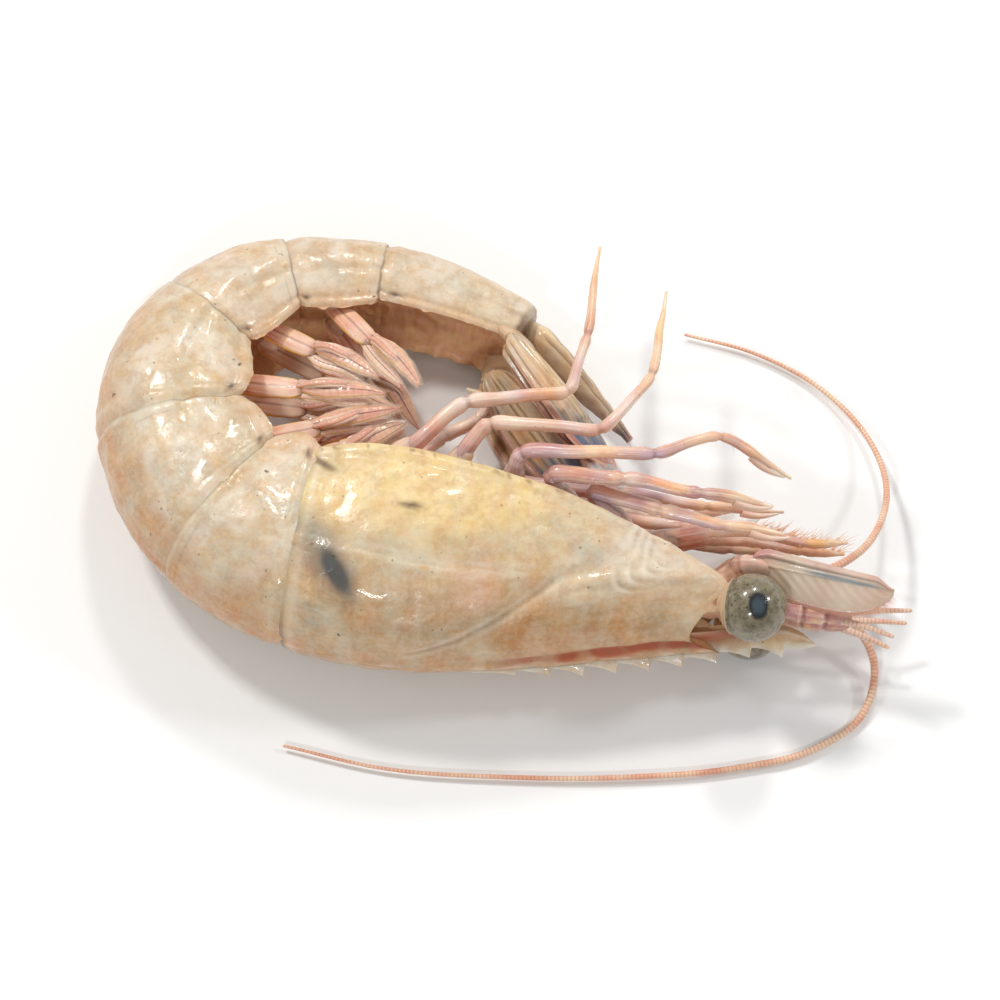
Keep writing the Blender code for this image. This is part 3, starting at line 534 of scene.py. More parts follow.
def shellFinish():
    # thin horny plates over pale flesh; where each tone lies is stored on the plates' points
    tone = shellTones
    f = Finish("shellSkin", tone["flesh"], wetShader)
    f.paint(f.times(f.group("clouds", Size=6.5, Amount=0.5, Edge=0.3), 0.8), tone["milky"])
    f.paint(f.times(f.group("clouds", Size=4.1, Amount=0.42, Edge=0.26), 0.62), tone["blueGrey"])
    f.paint(f.times(f.value("tanTone"), f.group("clouds", Size=8.0, Amount=0.8, Edge=0.45)), tone["tan"])
    f.paint(f.value("creamTone"), tone["cream"])
    # the peach band along the back: partly the shell's own colour, partly painted glow of light through the
    # thin edge and painted shade
    f.paint(f.value("peachTone"), tone["peach"])
    f.paint(f.value("pinkTone"), tone["pink"])
    # pearl: the shell's own pearly white, and on the beak's teeth a painted highlight
    f.paint(f.value("pearlTone"), tone["pearl"])
    grain = f.group("grain", Along=f.value("station"), Across=f.value("arc"), Length=6.0, Width=0.6)
    f.paint(f.times(grain, 0.09), tone["rim"])
    bands = f.group("grain", Along=f.value("arc"), Across=f.value("station"), Length=9.0, Width=2.2)
    f.paint(f.times(bands, 0.34), tone["milky"])
    f.paint(f.times(f.group("clouds", Size=2.2, Amount=0.38, Edge=0.3), 0.3), tone["ochre"])
    f.paint(f.times(f.group("clouds", Size=1.3, Amount=0.42, Edge=0.25), 0.26), tone["tan"])
    f.paint(f.times(f.group("clouds", Size=0.5, Amount=0.45, Edge=0.2), 0.12), tone["rim"])
    f.paint(f.value("rimLine"), tone["rim"])
    f.paint(f.value("brownLine"), tone["brown"])
    f.paint(f.value("rustLine"), tone["rust"])
    f.paint(f.value("slateSpot"), tone["slate"])
    flat = addNode(f.tree, "ShaderNodeCombineXYZ", {
        "X": maths(f.tree, "MULTIPLY", f.value("station"), 0.42), "Y": f.value("arc")}).outputs[0]
    f.paint(f.times(f.group("specks", Vector=flat, Spacing=2.3, Size=0.34, Amount=0.3), 0.6), tone["ochre"])
    f.paint(f.times(f.group("specks", Spacing=1.0, Size=0.2, Amount=0.34), 0.55), tone["brown"])
    f.paint(f.times(f.group("specks", Spacing=3.4, Size=0.42, Amount=0.34), 0.8), tone["brown"])
    f.paint(f.value("inside"), tone["belly"])
    f.paint(f.times(f.value("inside"), f.group("clouds", Size=2.6, Amount=0.5, Edge=0.3), 0.6), tone["pink"])
    strands = f.group("grain", Along=f.value("arc"), Across=f.value("station"), Length=5.0, Width=0.5)
    f.paint(f.times(f.value("inside"), strands, 0.45), tone["cream"])
    f.paint(f.times(f.value("inside"), f.group("clouds", Size=0.9, Amount=0.4, Edge=0.2), 0.3), tone["ochre"])
    return f.finish(0.28, 0.5, Ripple_Size=1.7, Ripple_Height=0.21, Pore_Size=0.28, Pore_Depth=0.012)


limbTones = {
    "peach": (0.80, 0.39, 0.205), "cream": (0.88, 0.62, 0.36), "mauve": (0.40, 0.15, 0.18),
    "lilac": (0.56, 0.43, 0.52), "red": (0.64, 0.13, 0.06), "white": (0.91, 0.81, 0.68),
    "yellow": (0.82, 0.48, 0.07), "brown": (0.11, 0.04, 0.025), "teal": (0.08, 0.18, 0.24),
    "clear": (0.55, 0.475, 0.35),
}


def limbFinish():
    tone = limbTones
    f = Finish("limbSkin", tone["peach"], {**wetShader, "Subsurface Scale": 0.0007})
    f.paint(f.group("clouds", Size=3.6, Amount=0.42, Edge=0.3), tone["cream"])
    f.paint(f.value("clearTone"), tone["clear"])
    f.paint(f.times(f.value("mauveTone"), f.group("clouds", Size=2.6, Amount=0.66, Edge=0.3)), tone["mauve"])
    f.paint(f.times(f.value("redTone"), 0.9), tone["red"])
    # lilac on each leg's upper side: partly the legs' own lavender, partly painted sheen where light falls
    # from above
    f.paint(f.times(f.value("lilacTone"), f.ramp(f.value("around"), 0.15, 0.85)), tone["lilac"])
    f.paint(f.value("whiteTone"), tone["white"])
    f.paint(f.value("yellowTone"), tone["yellow"])
    stripes = f.group("grain", Along=f.value("distance"), Across=f.value("around"), Length=7.0, Width=0.3)
    f.paint(f.times(stripes, 0.42), tone["white"])
    lines = f.group("grain", Along=f.value("distance"), Across=f.value("topSide"), Length=9.0, Width=0.22)
    f.paint(f.times(lines, f.value("mauveTone"), 0.6), tone["mauve"])
    f.paint(f.times(lines, 0.14), tone["red"])
    edge = f.ramp(maths(f.tree, "ABSOLUTE", f.value("around")), 0.8, 0.97)
    f.paint(f.times(edge, f.value("edgeTone")), tone["yellow"])
    vein = f.ramp(maths(f.tree, "ABSOLUTE", f.value("around")), 0.05, 0.16, 1.0, 0.0)
    f.paint(f.times(vein, f.value("veinTone")), tone["brown"])
    f.paint(f.value("tealTone"), tone["teal"])
    f.paint(f.times(f.group("specks", Spacing=0.9, Size=0.15, Amount=0.25), 0.6), tone["red"])
    f.paint(f.value("jointLine"), tone["brown"])
    return f.finish(0.2, 0.4, Ripple_Size=1.4, Ripple_Height=0.07, Pore_Size=0.2, Pore_Depth=0.006)


fanTones = {
    "tan": (0.60, 0.41, 0.245), "amber": (0.62, 0.30, 0.11), "violet": (0.19, 0.16, 0.20),
    "blue": (0.06, 0.12, 0.22), "pink": (0.68, 0.25, 0.16), "yellow": (0.80, 0.63, 0.36),
    "grey": (0.62, 0.54, 0.44), "brown": (0.15, 0.07, 0.035),
}


def fanFinish():
    tone = fanTones
    f = Finish("fanSkin", tone["tan"], {**wetShader, "Subsurface Scale": 0.0005})
    f.paint(f.group("clouds", Size=3.0, Amount=0.5, Edge=0.35), tone["grey"])
    f.paint(f.times(f.value("amberTone"), f.group("clouds", Size=4.5, Amount=0.6, Edge=0.35)), tone["amber"])
    grain = f.group("grain", Along=f.value("distance"), Across=f.value("arc"), Length=9.0, Width=0.34)
    f.paint(f.times(grain, 0.16), tone["yellow"])
    smoke = f.group("clouds", Size=2.6, Amount=0.72, Edge=0.3)
    f.paint(f.times(f.value("violetTone"), smoke), tone["violet"])
    f.paint(f.value("blueTone"), tone["blue"])
    f.paint(f.value("groove"), tone["brown"])
    f.paint(f.value("ribTone"), tone["yellow"])
    f.paint(f.value("pinkTone"), tone["pink"])
    f.paint(f.times(f.group("specks", Spacing=0.9, Size=0.16, Amount=0.45), 0.6), tone["brown"])
    return f.finish(0.18, 0.4, Ripple_Size=1.6, Ripple_Height=0.08, Pore_Size=0.22, Pore_Depth=0.008)


eyeTones = {"olive": (0.14, 0.115, 0.064), "grey": (0.27, 0.23, 0.15), "pupil": (0.05, 0.075, 0.095),
            "black": (0.006, 0.006, 0.006), "stalk": (0.62, 0.42, 0.25)}


def eyeFinish():
    tone = eyeTones
    shader = {"Subsurface Weight": 0.08, "Subsurface Scale": 0.0004, "IOR": 1.42, "Coat Weight": 0.8,
              "Coat Roughness": 0.03, "Coat IOR": 1.4}
    f = Finish("eyeSkin", tone["olive"], shader)
    f.paint(f.times(f.group("clouds", Size=0.7, Amount=0.55, Edge=0.3), 0.85), tone["grey"])
    f.paint(f.times(f.group("specks", Spacing=0.5, Size=0.2, Amount=0.6), 0.7), tone["black"])
    f.paint(f.value("pupilRim"), tone["black"])
    f.paint(f.value("pupil"), tone["pupil"])
    f.paint(f.value("stalkTone"), tone["stalk"])
    return f.finish(0.16, 0.3, Ripple_Size=0.9, Ripple_Height=0.03, Pore_Size=0.14, Pore_Depth=0.008)


feelerTones = {"pink": (0.74, 0.38, 0.26), "cream": (0.86, 0.64, 0.46), "red": (0.46, 0.15, 0.09)}


def feelerFinish():
    tone = feelerTones
    f = Finish("feelerSkin", tone["pink"], {**wetShader, "Subsurface Scale": 0.0004})
    f.paint(f.group("clouds", Size=6.0, Amount=0.5, Edge=0.35), tone["cream"])
    f.paint(f.times(f.value("ringLine"), 0.5), tone["red"])
    f.paint(f.times(f.group("specks", Spacing=0.7, Size=0.12, Amount=0.3), 0.7), tone["red"])
    return f.finish(0.25, 0.42, Ripple_Size=1.0, Ripple_Height=0.02, Pore_Size=0.15, Pore_Depth=0.004)


finishes = {
    "shell": shellFinish(), "limb": limbFinish(), "fan": fanFinish(), "eye": eyeFinish(),
    "feeler": feelerFinish(),
}
print("materials wired")

# a ring's plate: points round its outside and across its belly, then its relief in millimetres
plate = {
    "outside": 181, "belly": 45, "tuck": 0.28, "overhang": 0.75,
    "wave": 0.07, "hingeAt": 0.64, "hinge": 0.14, "hem": 0.12, "sternalBar": 0.7,
}
aroundLine = np.linspace(-1.0, 1.0, plate["outside"])


def bellyRow(station, inset, flap, barHeight):
    # from the right hem up inside the flap, across the belly and down to the left hem
    station = np.asarray(station, float)[:, None]
    halfWidth, _, belly, _ = bodyAt(station)
    edge, inner = belly + flap - inset, belly - inset
    hemAcross = (halfWidth - inset) * (1 - section["narrowing"])
    t = np.linspace(-1.0, 1.0, plate["belly"])[None]
    side = np.clip((1 - np.abs(t)) / 0.22, 0.0, 1.0)  # 0 at the hem, 1 where the belly starts
    inward = 0.45 * step(side, 0.0, 0.35) + 0.55 * side
    middle = np.clip(np.abs(t) / 0.78, 0, 1)
    across = np.where(side < 1.0, hemAcross - inward, (hemAcross - 1.0) * middle) * np.sign(t)
    arch = 1.0 + 0.6 * (1 - middle**2) - barHeight
    rising = -edge + 0.12 * step(side, 0, 0.3) + (edge - inner + arch - 0.12) * side**1.5
    up = np.where(side < 1.0, rising, -inner + arch)
    place, _, backWay, leftWay = frameAt(station)
    return place + leftWay * across[..., None] + backWay * up[..., None]


def innerRow(where, inset, hang):
    # one row round the whole plate, inside its rim
    ring = skin(np.full((1, 1), where), aroundLine[None], inset, hang)[0]
    return np.concatenate([ring, bellyRow(np.array([where]), inset, hang, 0.0)], axis=1)


def reliefRows(points, place, height):
    # the points moved outward by height, along the grid's own normals
    du = np.gradient(points, axis=0)
    dv = np.gradient(points, axis=1)
    normal = unit(np.cross(du, dv))
    outward = np.sign((normal * (points - place)).sum(-1))[..., None]
    return points + normal * outward * height[..., None]


def onFloor(points, least=0.0):
    points[..., 2] = np.maximum(points[..., 2], least)
    return points


def arcOf(station, around):
    # distance round the shell from the middle of the back, in millimetres
    halfWidth, back, belly, _ = bodyAt(station)
    quarter = (halfWidth + back) * 0.79
    share = np.abs(around) ** section["crowding"]
    upper = np.clip(share / section["backShare"], 0, 1) * quarter
    lower = np.clip((share - section["backShare"]) / (1 - section["backShare"]), 0, 1) * belly
    return np.sign(around) * (upper + lower)


# how strong the orange band on the back is along the tail, partly the shell's own colour and partly painted
# shade and painted glow: stations, then amounts
orangeBack = ((38.0, 50.0, 62.0, 75.0, 88.0, 100.0, 114.0), (0.6, 0.85, 0.95, 0.72, 0.48, 0.4, 0.36))


def ringTones(number, station, around, share):
    # where the tones of a tail ring lie
    away = np.abs(around)
    place = skin(station, around)[0]
    cloud = ripple(place, 9.0, 40 + number)
    patch = ripple(place, 4.0, 50 + number)
    dorsal = bump(away, 0.36)
    hind = number > 3
    orange = smooth(*orangeBack, station)
    # the orange band on the back is partly the shell's own tone, partly a painted glow of light through the
    # thin edge, darkened as painted shade
    peach = (
        orange * bump(away, 0.38) * (0.88 + 0.2 * patch) + 0.16 * patch * dorsal
        + 0.32 * step(away, 0.84, 1.0)
    )
    pearl = 0.14 + 0.46 * np.clip(patch + 0.2, 0, 1)
    brown = (
        0.8 * bump(share - 1.01, 0.022) * (0.25 + 0.5 * bump(away, 0.35) + 0.75 * step(away, 0.5, 0.8))
        + 0.2 * bump(share - 0.9, 0.008) * np.clip(patch, 0, 1)
        + 0.8 * bump(away, 0.012) * (0.5 + 0.5 * cloud) * hind
        + 0.85 * bump(share - 0.16, 0.05) * bump(away - 0.93, 0.02)
    )
    return {
        "tanTone": np.clip(0.42 * dorsal + 0.22 * cloud + (0.14 if hind else 0.06), 0, 1),
        "creamTone": 0.14 * step(away, 0.5, 0.95),
        "peachTone": np.clip(peach, 0, 0.88),
        "pinkTone": np.clip(
            0.16 * step(away, 0.7, 1.0) * (0.6 + 0.6 * patch) + (0.12 if hind else 0.03), 0, 1),
        "pearlTone": pearl * step(away, 0.25, 0.5) * (1 - step(away, 0.85, 1.0)),
        "rimLine": (
            0.16 * bump(share - 0.975, 0.02) + 0.05 * bump(share - 0.16, 0.02)
            + 0.18 * bump(away - 0.975, 0.012)
        ),
        "brownLine": np.clip(brown, 0, 0.9),
    }


def tailRing(number):
    start, end = ringStarts[number - 1], ringStarts[number]
    last = number == len(bodyLine["rings"])
    rows = int(46 + (end - start) * 4.5)
    shares = np.linspace(0.0, 1.0, rows)[:, None]
    reach = end + (0.25 if last else plate["overhang"])
    station = start + shares * (reach - start)
    tuck = plate["tuck"] * (1 - step(station - start, 0.6, 1.9))
    rim = -0.035 * bump(shares - 0.94, 0.05) + 0.10 * step(shares, 0.97, 1.0)
    flap = section["flaps"][number] * np.sin(math.pi * (0.06 + 0.88 * shares)) ** 0.6
    ridge = (0.5 if number > 3 else 0.12) * np.ones_like(shares)
    around = aroundLine[None]
    points, place, _, _ = skin(station, around, tuck + rim + 0.06, flap, ridge)
    away = np.abs(around)
    down = step(away, plate["hingeAt"], 1.0)
    height = plate["wave"] * ripple(points, 6.5, number) + 0.02 * ripple(points, 1.9, 20 + number)
    height = height + plate["hem"] * bump(away - 0.965, 0.018) * step(shares, 0.06, 0.16)
    height = height - 0.12 * bump(away - 0.925, 0.02) * down
    height = height + plate["hinge"] * bump(away - plate["hingeAt"], 0.035) * bump(shares - 0.95, 0.05)
    height = height - 0.05 * bump(shares - 0.17, 0.02) * step(away, 0.0, 0.1)
    height = height - 0.16 * bump(away - 0.70, 0.035) * step(shares, 0.25, 0.5)  # where the flap springs
    height = np.minimum(height, 0.2)
    points = reliefRows(points, place, height)
    bar = plate["sternalBar"] * bump(shares - 0.5, 0.14)
    under = bellyRow(station[:, 0], (tuck + rim + 0.06), flap, bar)
    under = under + frameAt(station)[2] * (0.12 * ripple(under, 1.6, 60 + number))[..., None]
    body = np.concatenate([points, under], axis=1)

    front = [innerRow(start - 1.2, 1.1, 0.0), innerRow(start - 0.4, 0.8, 0.0)]
    if last:
        rear = [innerRow(end + 0.5, 0.35, 0.0), innerRow(end + 0.7, 0.8, 0.0), innerRow(end + 0.6, 1.4, -0.2)]
    else:
        rear = [innerRow(reach - 0.02, 0.3, float(flap[-1, 0])), innerRow(end - 1.0, 0.8, 0.2)]
    rings = onFloor(np.concatenate([*front, body, *rear]))
    total = len(rings)
    allStations = np.concatenate([[start - 1.2, start - 0.4], station[:, 0], [reach] * len(rear)])[:, None]
    allShares = np.concatenate([[0.0, 0.0], shares[:, 0], [1.0] * len(rear)])[:, None]
    width = rings.shape[1]
    allAround = np.concatenate([aroundLine, np.linspace(1.0, -1.0, plate["belly"])])[None]
    isBelly = np.concatenate([np.zeros(plate["outside"]), np.ones(plate["belly"])])[None]
    values = ringTones(number, allStations, np.broadcast_to(allAround, (total, width)), allShares)
    values = {name: v * (1 - isBelly) for name, v in values.items()}
    values["inside"] = np.broadcast_to(isBelly * 0.9, (total, width))
    values["station"] = np.broadcast_to(allStations, (total, width))
    values["arc"] = arcOf(values["station"], np.broadcast_to(allAround, (total, width)))
    mesh = gridMesh(rings, values)
    addPiece(f"shellRing{number}", [mesh], finishes["shell"], "shell", f"abdomen_{number}")


for number in range(1, 7):
    tailRing(number)
print("tail rings made")

headShell = {
    "rows": 190, "ridge": 0.9, "frontReach": 4, "mouthBack": 4.5, "wave": 0.09, "overhang": 0.7,
    # how far forward the front edge reaches, from the middle of the back to the hem
    "margin": ((0.0, 0.08, 0.17, 0.28, 0.4, 0.5, 0.6, 0.72, 1.0),
               (3.6, 2.6, 1.1, 0.3, 0.5, 1.2, 2.0, 3.6, -3.0)),
    "droop": (0.32, 0.35),
    "spine": (0.565, 1.5),  # the small spine under the eye: how far round, how long
    "cervical": ((28.0, 3.5), (23.0, 6.0), (18.0, 9.5), (14.5, 12.0)),  # (station, arc) of the oblique groove
    "cheek": ((14.5, 12.0), (9.0, 13.6), (3.0, 13.4)),
    "gillLine": ((15.0, 13.2), (24.0, 14.6), (32.0, 15.6), (39.0, 15.6)),
    "orbitRidge": ((1.0, 10.6), (7.0, 11.0), (12.0, 11.6)),
    "grooves": (("cervical", -0.3, 0.9), ("cheek", -0.24, 0.8), ("gillLine", -0.14, 0.5),
                ("orbitRidge", 0.28, 0.55)),  # which line, its height, its width
    "spot": {"place": (35.8, 12.6), "size": (1.05, 2.7), "turn": -42.0},
    "spotHalo": {"place": (37.0, 13.6), "size": (2.3, 4.2), "turn": -45.0},
    "nick": {"place": (29.5, 20.0), "size": (0.32, 1.3), "turn": -88.0},
    "dash": {"place": (39.4, 22.6), "size": (0.45, 1.9), "turn": -80.0},
    "blush": {"place": (21.9, 12.4), "size": (2.2, 3.0), "turn": 0.0},
    "curls": {"place": (4.2, 12.3), "stretch": 1.9, "radii": (0.8, 1.5, 2.2, 2.9)},
    # the rows that close the front: how far out from the innermost point, and how much they shrink
    "mouthRows": ((0.98, 1.0), (0.8, 1.0), (0.55, 1.0), (0.3, 1.0), (0.12, 0.97), (0.03, 0.96)),
    "beakLine": {"path": ((-3.0, 0.0, 5.0, 10.0, 16.0, 22.0), (2.3, 2.2, 2.1, 1.9, 1.8, 1.8)),
                 "width": 0.5, "rustWidth": 0.68},
}


def tilted(station, arc, place, size, turn):
    # a soft oblong: 1 in its middle
    c, s = math.cos(math.radians(turn)), math.sin(math.radians(turn))
    u, v = station - place[0], arc - place[1]
    return np.exp(-(((u * c + v * s) / size[0]) ** 2 + ((v * c - u * s) / size[1]) ** 2) ** 1.6)


def frontCurls(station, side):
    # nested curled lines at the front of the cheek
    spec = headShell["curls"]
    u, v = (station - spec["place"][0]) / spec["stretch"], side - spec["place"][1]
    bend = 0.13 * np.sin(0.8 * station + 1.1 * side)
    reach = np.hypot(u, v) + bend + 0.04 * np.sin(2.3 * station - 1.1 * side)
    strength = 0.65 + 0.35 * np.sin(0.8 * station + 0.7 * side)
    rings = np.max([bump(reach - r, 0.15) for r in spec["radii"]], axis=0) * strength
    return rings * step(u + 0.5 * v, -1.2, 0.4) * (1 - step(station, 11.0, 14.0))


def headTones(station, around, arc, place):
    # where the tones of the head shell lie
    left = -arc  # the left side is the one that shows
    cloud = ripple(place, 8.0, 71)
    fine = ripple(place, 2.6, 72)
    away = np.abs(around)
    side = np.abs(arc)
    mark = {
        name: tilted(station, left, **headShell[name])
        for name in ("blush", "nick", "dash", "spot", "spotHalo")
    }
    cervical, _ = pathDistance(station, side, headShell["cervical"])
    gill, gillAt = pathDistance(station, side, headShell["gillLine"])
    upper = 1 - step(side, 10.0, 17.5)
    lower = step(side, 16.0, 19.5) * step(station, 12.0, 21.0)
    curls = frontCurls(station, side)
    darkCurls = frontCurls(station, side - 0.34) * (1 - curls)
    lineAt = headShell["beakLine"]
    rust = bump(side - smooth(*lineAt["path"], station) + 0.3, lineAt["rustWidth"])
    rust = rust * (1 - step(station, 9.0, 22.0))
    tan = (
        0.6 * upper * (0.85 + 0.35 * cloud) + 0.42 * bump(side - 6.0, 3.4) * step(-station, -34.0, -20.0)
        + 0.2 * bump(away, 0.1)
    )
    # the peach band along the back is partly the shell's own tone, partly a painted glow of light through the
    # thin edge, darkened as painted shade
    peach = (
        0.6 * bump(away, 0.26) * (0.8 + 0.3 * fine) + 0.2 * cloud * upper
        + 0.3 * bump(side - 5.0, 2.0) * bump(station - 12.0, 9.0)
    )
    rim = (
        0.25 * bump(station - 39.8, 0.4) + 0.3 * bump(cervical - 0.5, 0.35)
        + 0.25 * bump(gill - 0.35, 0.25) * step(gillAt, 0.0, 0.1) + 0.55 * curls
        + 0.4 * bump(side - 0.6, 0.35) * step(fine, -0.2, 0.6)
    )
    hemDots = step(np.sin(station * 1.9 + 2 * fine), 0.5, 1.0) * step(station, 10.0, 16.0)
    brown = (
        0.24 * bump(cervical, 0.3) + 0.26 * darkCurls + 0.8 * bump(station - 40.6, 0.25) * bump(away, 0.35)
        + 0.8 * mark["nick"] + 0.75 * mark["dash"] + 0.75 * rust * (1 - step(station, 0.5, 4.5))
        + 0.6 * bump(away - 0.985, 0.01) * hemDots
    )
    pearl = np.clip(0.75 * (1 - step(station, 6.0, 17.0)) * step(side, 8.0, 11.5), 0, 0.8)
    return {
        "tanTone": np.clip(tan, 0, 0.95),
        "creamTone": np.clip(0.85 * lower * (0.85 + 0.3 * cloud) + 0.25 * step(side, 13.0, 17.0), 0, 0.9),
        "peachTone": np.clip(peach, 0, 1),
        "pinkTone": np.clip(0.55 * mark["blush"] + 0.16 * step(fine, 0.3, 1.0), 0, 0.6),
        "pearlTone": pearl * (0.75 + 0.25 * cloud),
        "rimLine": np.clip(rim, 0, 0.8),
        "brownLine": np.clip(brown, 0, 0.88),
        "rustLine": np.clip(rust * (1.05 + 0.5 * fine), 0, 0.92),
        "slateSpot": np.clip(0.62 * mark["spot"] + 0.5 * mark["spotHalo"], 0, 0.9),
    }


def carapace():
    rows = headShell["rows"]
    rim = bodyLine["headShell"] + headShell["overhang"]
    shares = (np.linspace(0.0, 1.0, rows) ** 1.1)[:, None]
    station = shares * rim
    around = aroundLine[None]
    away = np.abs(around)
    flap = section["flaps"][0] * np.sin(math.pi * np.clip(0.12 + 0.82 * shares, 0, 1)) ** 0.7
    edge = 0.06 - 0.04 * bump(shares - 0.978, 0.01) + 0.12 * step(shares, 0.988, 1.0)
    ridge = headShell["ridge"] * (1 - shares) ** 1.5
    points, place, backWay, _ = skin(station, around, edge, flap, ridge)
    arc = arcOf(*np.broadcast_arrays(station, around))
    side = np.abs(arc)
    height = headShell["wave"] * ripple(points, 6.0, 5) + 0.03 * ripple(points, 2.0, 6)
    for name, deep, wide in headShell["grooves"]:
        distance, _ = pathDistance(np.broadcast_to(station, side.shape), side, headShell[name])
        height = height + deep * bump(distance, wide)
    lineAt = headShell["beakLine"]
    beside = bump(side - smooth(*lineAt["path"], station), lineAt["width"])
    height = height - 0.5 * beside * (1 - step(station, 14.0, 26.0))  # groove beside the beak
    height = height + 0.07 * frontCurls(station, side)
    height = height + 0.16 * bump(away - 0.975, 0.014) - 0.14 * bump(away - 0.94, 0.016)
    height = height - 0.07 * bump(station - 38.4, 0.35)
    frontRim = 0.16 * bump(shares, 0.012)
    height = np.minimum(height + frontRim, 0.25)
    points = reliefRows(points, place, height)
    pull = (1 - shares) ** headShell["frontReach"]
    _, tail, _, _ = frameAt(station)
    knots, reaches = headShell["margin"]
    spineAt, spineLong = headShell["spine"]
    reach = smooth(knots, reaches, away) + spineLong * bump(away - spineAt, 0.022) * pull**6
    sink, ease = headShell["droop"]
    nearRidge = bump(away, 0.2)
    points = points - tail * (reach * pull)[..., None]
    points = points - backWay * ((sink * np.clip(reach, 0, 9) * pull + ease * pull**2) * nearRidge)[..., None]
    under = bellyRow(station[:, 0], edge, flap, 0.0)
    under = under + tail * (headShell["mouthBack"] * pull)[..., None]
    body = np.concatenate([points, under], axis=1)
    first = body[0]
    apex = bodyPoint(3.4, 1.0, 0.0)
    centre = first.mean(0)
    inner = []
    for depth, shrink in headShell["mouthRows"]:
        ring = first + (centre - first) * 0.07
        inner.append((ring + (apex - ring) * depth) * shrink + (1 - shrink) * ring)

    rear = [innerRow(rim - 0.02, 0.32, float(flap[-1, 0])), innerRow(rim - 2.0, 0.8, 0.2)]
    rings = onFloor(np.concatenate([np.array(inner), body, *rear]))
    total, width = rings.shape[:2]
    byRow = {
        "station": np.concatenate([np.zeros(len(inner)), station[:, 0], [rim] * 2]),
        "inner": np.concatenate([np.ones(len(inner)), np.zeros(total - len(inner))]),
    }
    byColumn = {
        "around": np.concatenate([aroundLine, np.linspace(1.0, -1.0, plate["belly"])]),
        "belly": np.concatenate([np.zeros(plate["outside"]), np.ones(plate["belly"])]),
    }
    allStations, isInner = (np.broadcast_to(v[:, None], (total, width)) for v in byRow.values())
    allAround, isBelly = (np.broadcast_to(v[None], (total, width)) for v in byColumn.values())
    allArc = arcOf(allStations, allAround)
    values = headTones(allStations, allAround, allArc, rings)
    hidden = np.maximum(isBelly, isInner)
    values = {name: v * (1 - hidden) for name, v in values.items()}
    values["inside"], values["station"], values["arc"] = hidden * 0.9, allStations, allArc
    return gridMesh(rings, values)


beak = {
    "start": 21.5, "tip": -13.5, "rows": 340, "sides": 28, "half": 0.62, "rootSwell": 2.4, "crest": 0.7,
    "teeth": 9, "tooth": 1.0, "toothFrom": 20.0, "toothed": 0.9, "toothBack": 0.86,
    # the stations, then the height over the axis and the depth of the blade there
    "top": ((-13.5, -8.0, 0.0, 6.5, 14.0, 20.0, 24.0), (3.2, 3.5, 5.7, 7.2, 8.9, 10.1, 10.6)),
    "below": ((-13.5, -12.0, -9.0, -4.0, 0.0, 16.0, 22.0), (0.75, 1.7, 2.6, 2.9, 3.0, 3.2, 2.2)),
}


def toothedBeak():
    spec = beak
    rows, sides, crest = spec["rows"], spec["sides"], spec["crest"]
    station = np.linspace(spec["start"], spec["tip"], rows)[:, None]
    top = smooth(*spec["top"], station)
    low = top - smooth(*spec["below"], station)
    pitch = (spec["toothFrom"] - spec["tip"]) * spec["toothed"] / spec["teeth"]
    turn = (spec["toothFrom"] - station) / pitch
    number, share = np.floor(turn), turn - np.floor(turn)
    peak = spec["toothBack"]
    saw = np.where(share < peak, (share / peak) ** 1.8, 1 - ((share - peak) / (1 - peak)) ** 0.7)
    live = (turn > 0) & (turn < spec["teeth"])
    tooth = np.where(live, spec["tooth"] * np.clip((number + 1) / 3, 0, 1) * saw, 0.0)
    tipIn = np.clip((station - spec["tip"]) / 1.6, 0.0, 1.0) ** 0.6
    angle = 2 * math.pi * np.arange(sides) / sides
    c, s = np.cos(angle)[None], np.sin(angle)[None]
    middle = (top - crest + low) / 2
    halfHigh = (top - crest - low) / 2 * tipIn
    up = middle + halfHigh * c + (tooth + crest * tipIn) * np.clip(c, 0, 1) ** 5
    taper = np.clip(0.30 + 0.70 * (station - spec["tip"]) / 14.0, 0.3, 1.0)
    taper = taper * (1 + spec["rootSwell"] * step(station, -8.0, 2.5))
    rib = 1 + 0.45 * bump(c + 0.15, 0.28)
    thick = spec["half"] * taper * np.sign(s) * np.abs(s) ** 0.75
    thick = thick * (0.30 + 0.70 * step(-c, -1.0, 0.2)) * rib * tipIn
    forward = 0.45 * tooth * np.clip(c, 0, 1) ** 5
    place, tail, back, left = frameAt(0.0)
    points = place + tail * (station - forward)[..., None] + back * up[..., None] + left * thick[..., None]
    ribLine = bump(c + 0.15, 0.3) * np.ones_like(station)
    values = {
        "tanTone": np.full((rows, sides), 0.45),
        "rustLine": 0.85 * bump(c - 0.2, 0.42) * step(station, -11.0, -3.0),
        # the teeth along the beak's top are painted white: a painted highlight
        "pearlTone": 0.95 * step(c, 0.6, 0.95) * np.ones_like(station),
        "rimLine": 0.35 * ribLine,
        "brownLine": 0.8 * bump(station + 5.5, 3.2) * bump(c + 0.15, 0.6),
        "station": station, "arc": up,
    }
    return gridMesh(points, values)


addPiece("headShell", [carapace(), toothedBeak()], finishes["shell"], "shell", "carapace")
print("head shell made")

telsonPlate = {"length": 15.5, "halfWidth": 2.6, "halfHeight": 1.7, "taper": 0.86, "lean": -6.0, "rise": 1.2,
               "gap": 1.4, "root": -0.1, "rows": 120, "sides": 48, "spines": 26}
fanPlates = {
    "inner": {"length": 16.5, "width": 5.8, "thickness": 0.5},
    "outer": {"length": 18.0, "width": 7.4, "thickness": 0.5},
    "camber": 0.8, "gap": 1.4, "columns": 100, "rows": 68, "bristles": 170,
    "stalk": {"from": (-0.8, 1.6, 2.2), "past": 1.6, "half": (1.9, 0.85)},
}
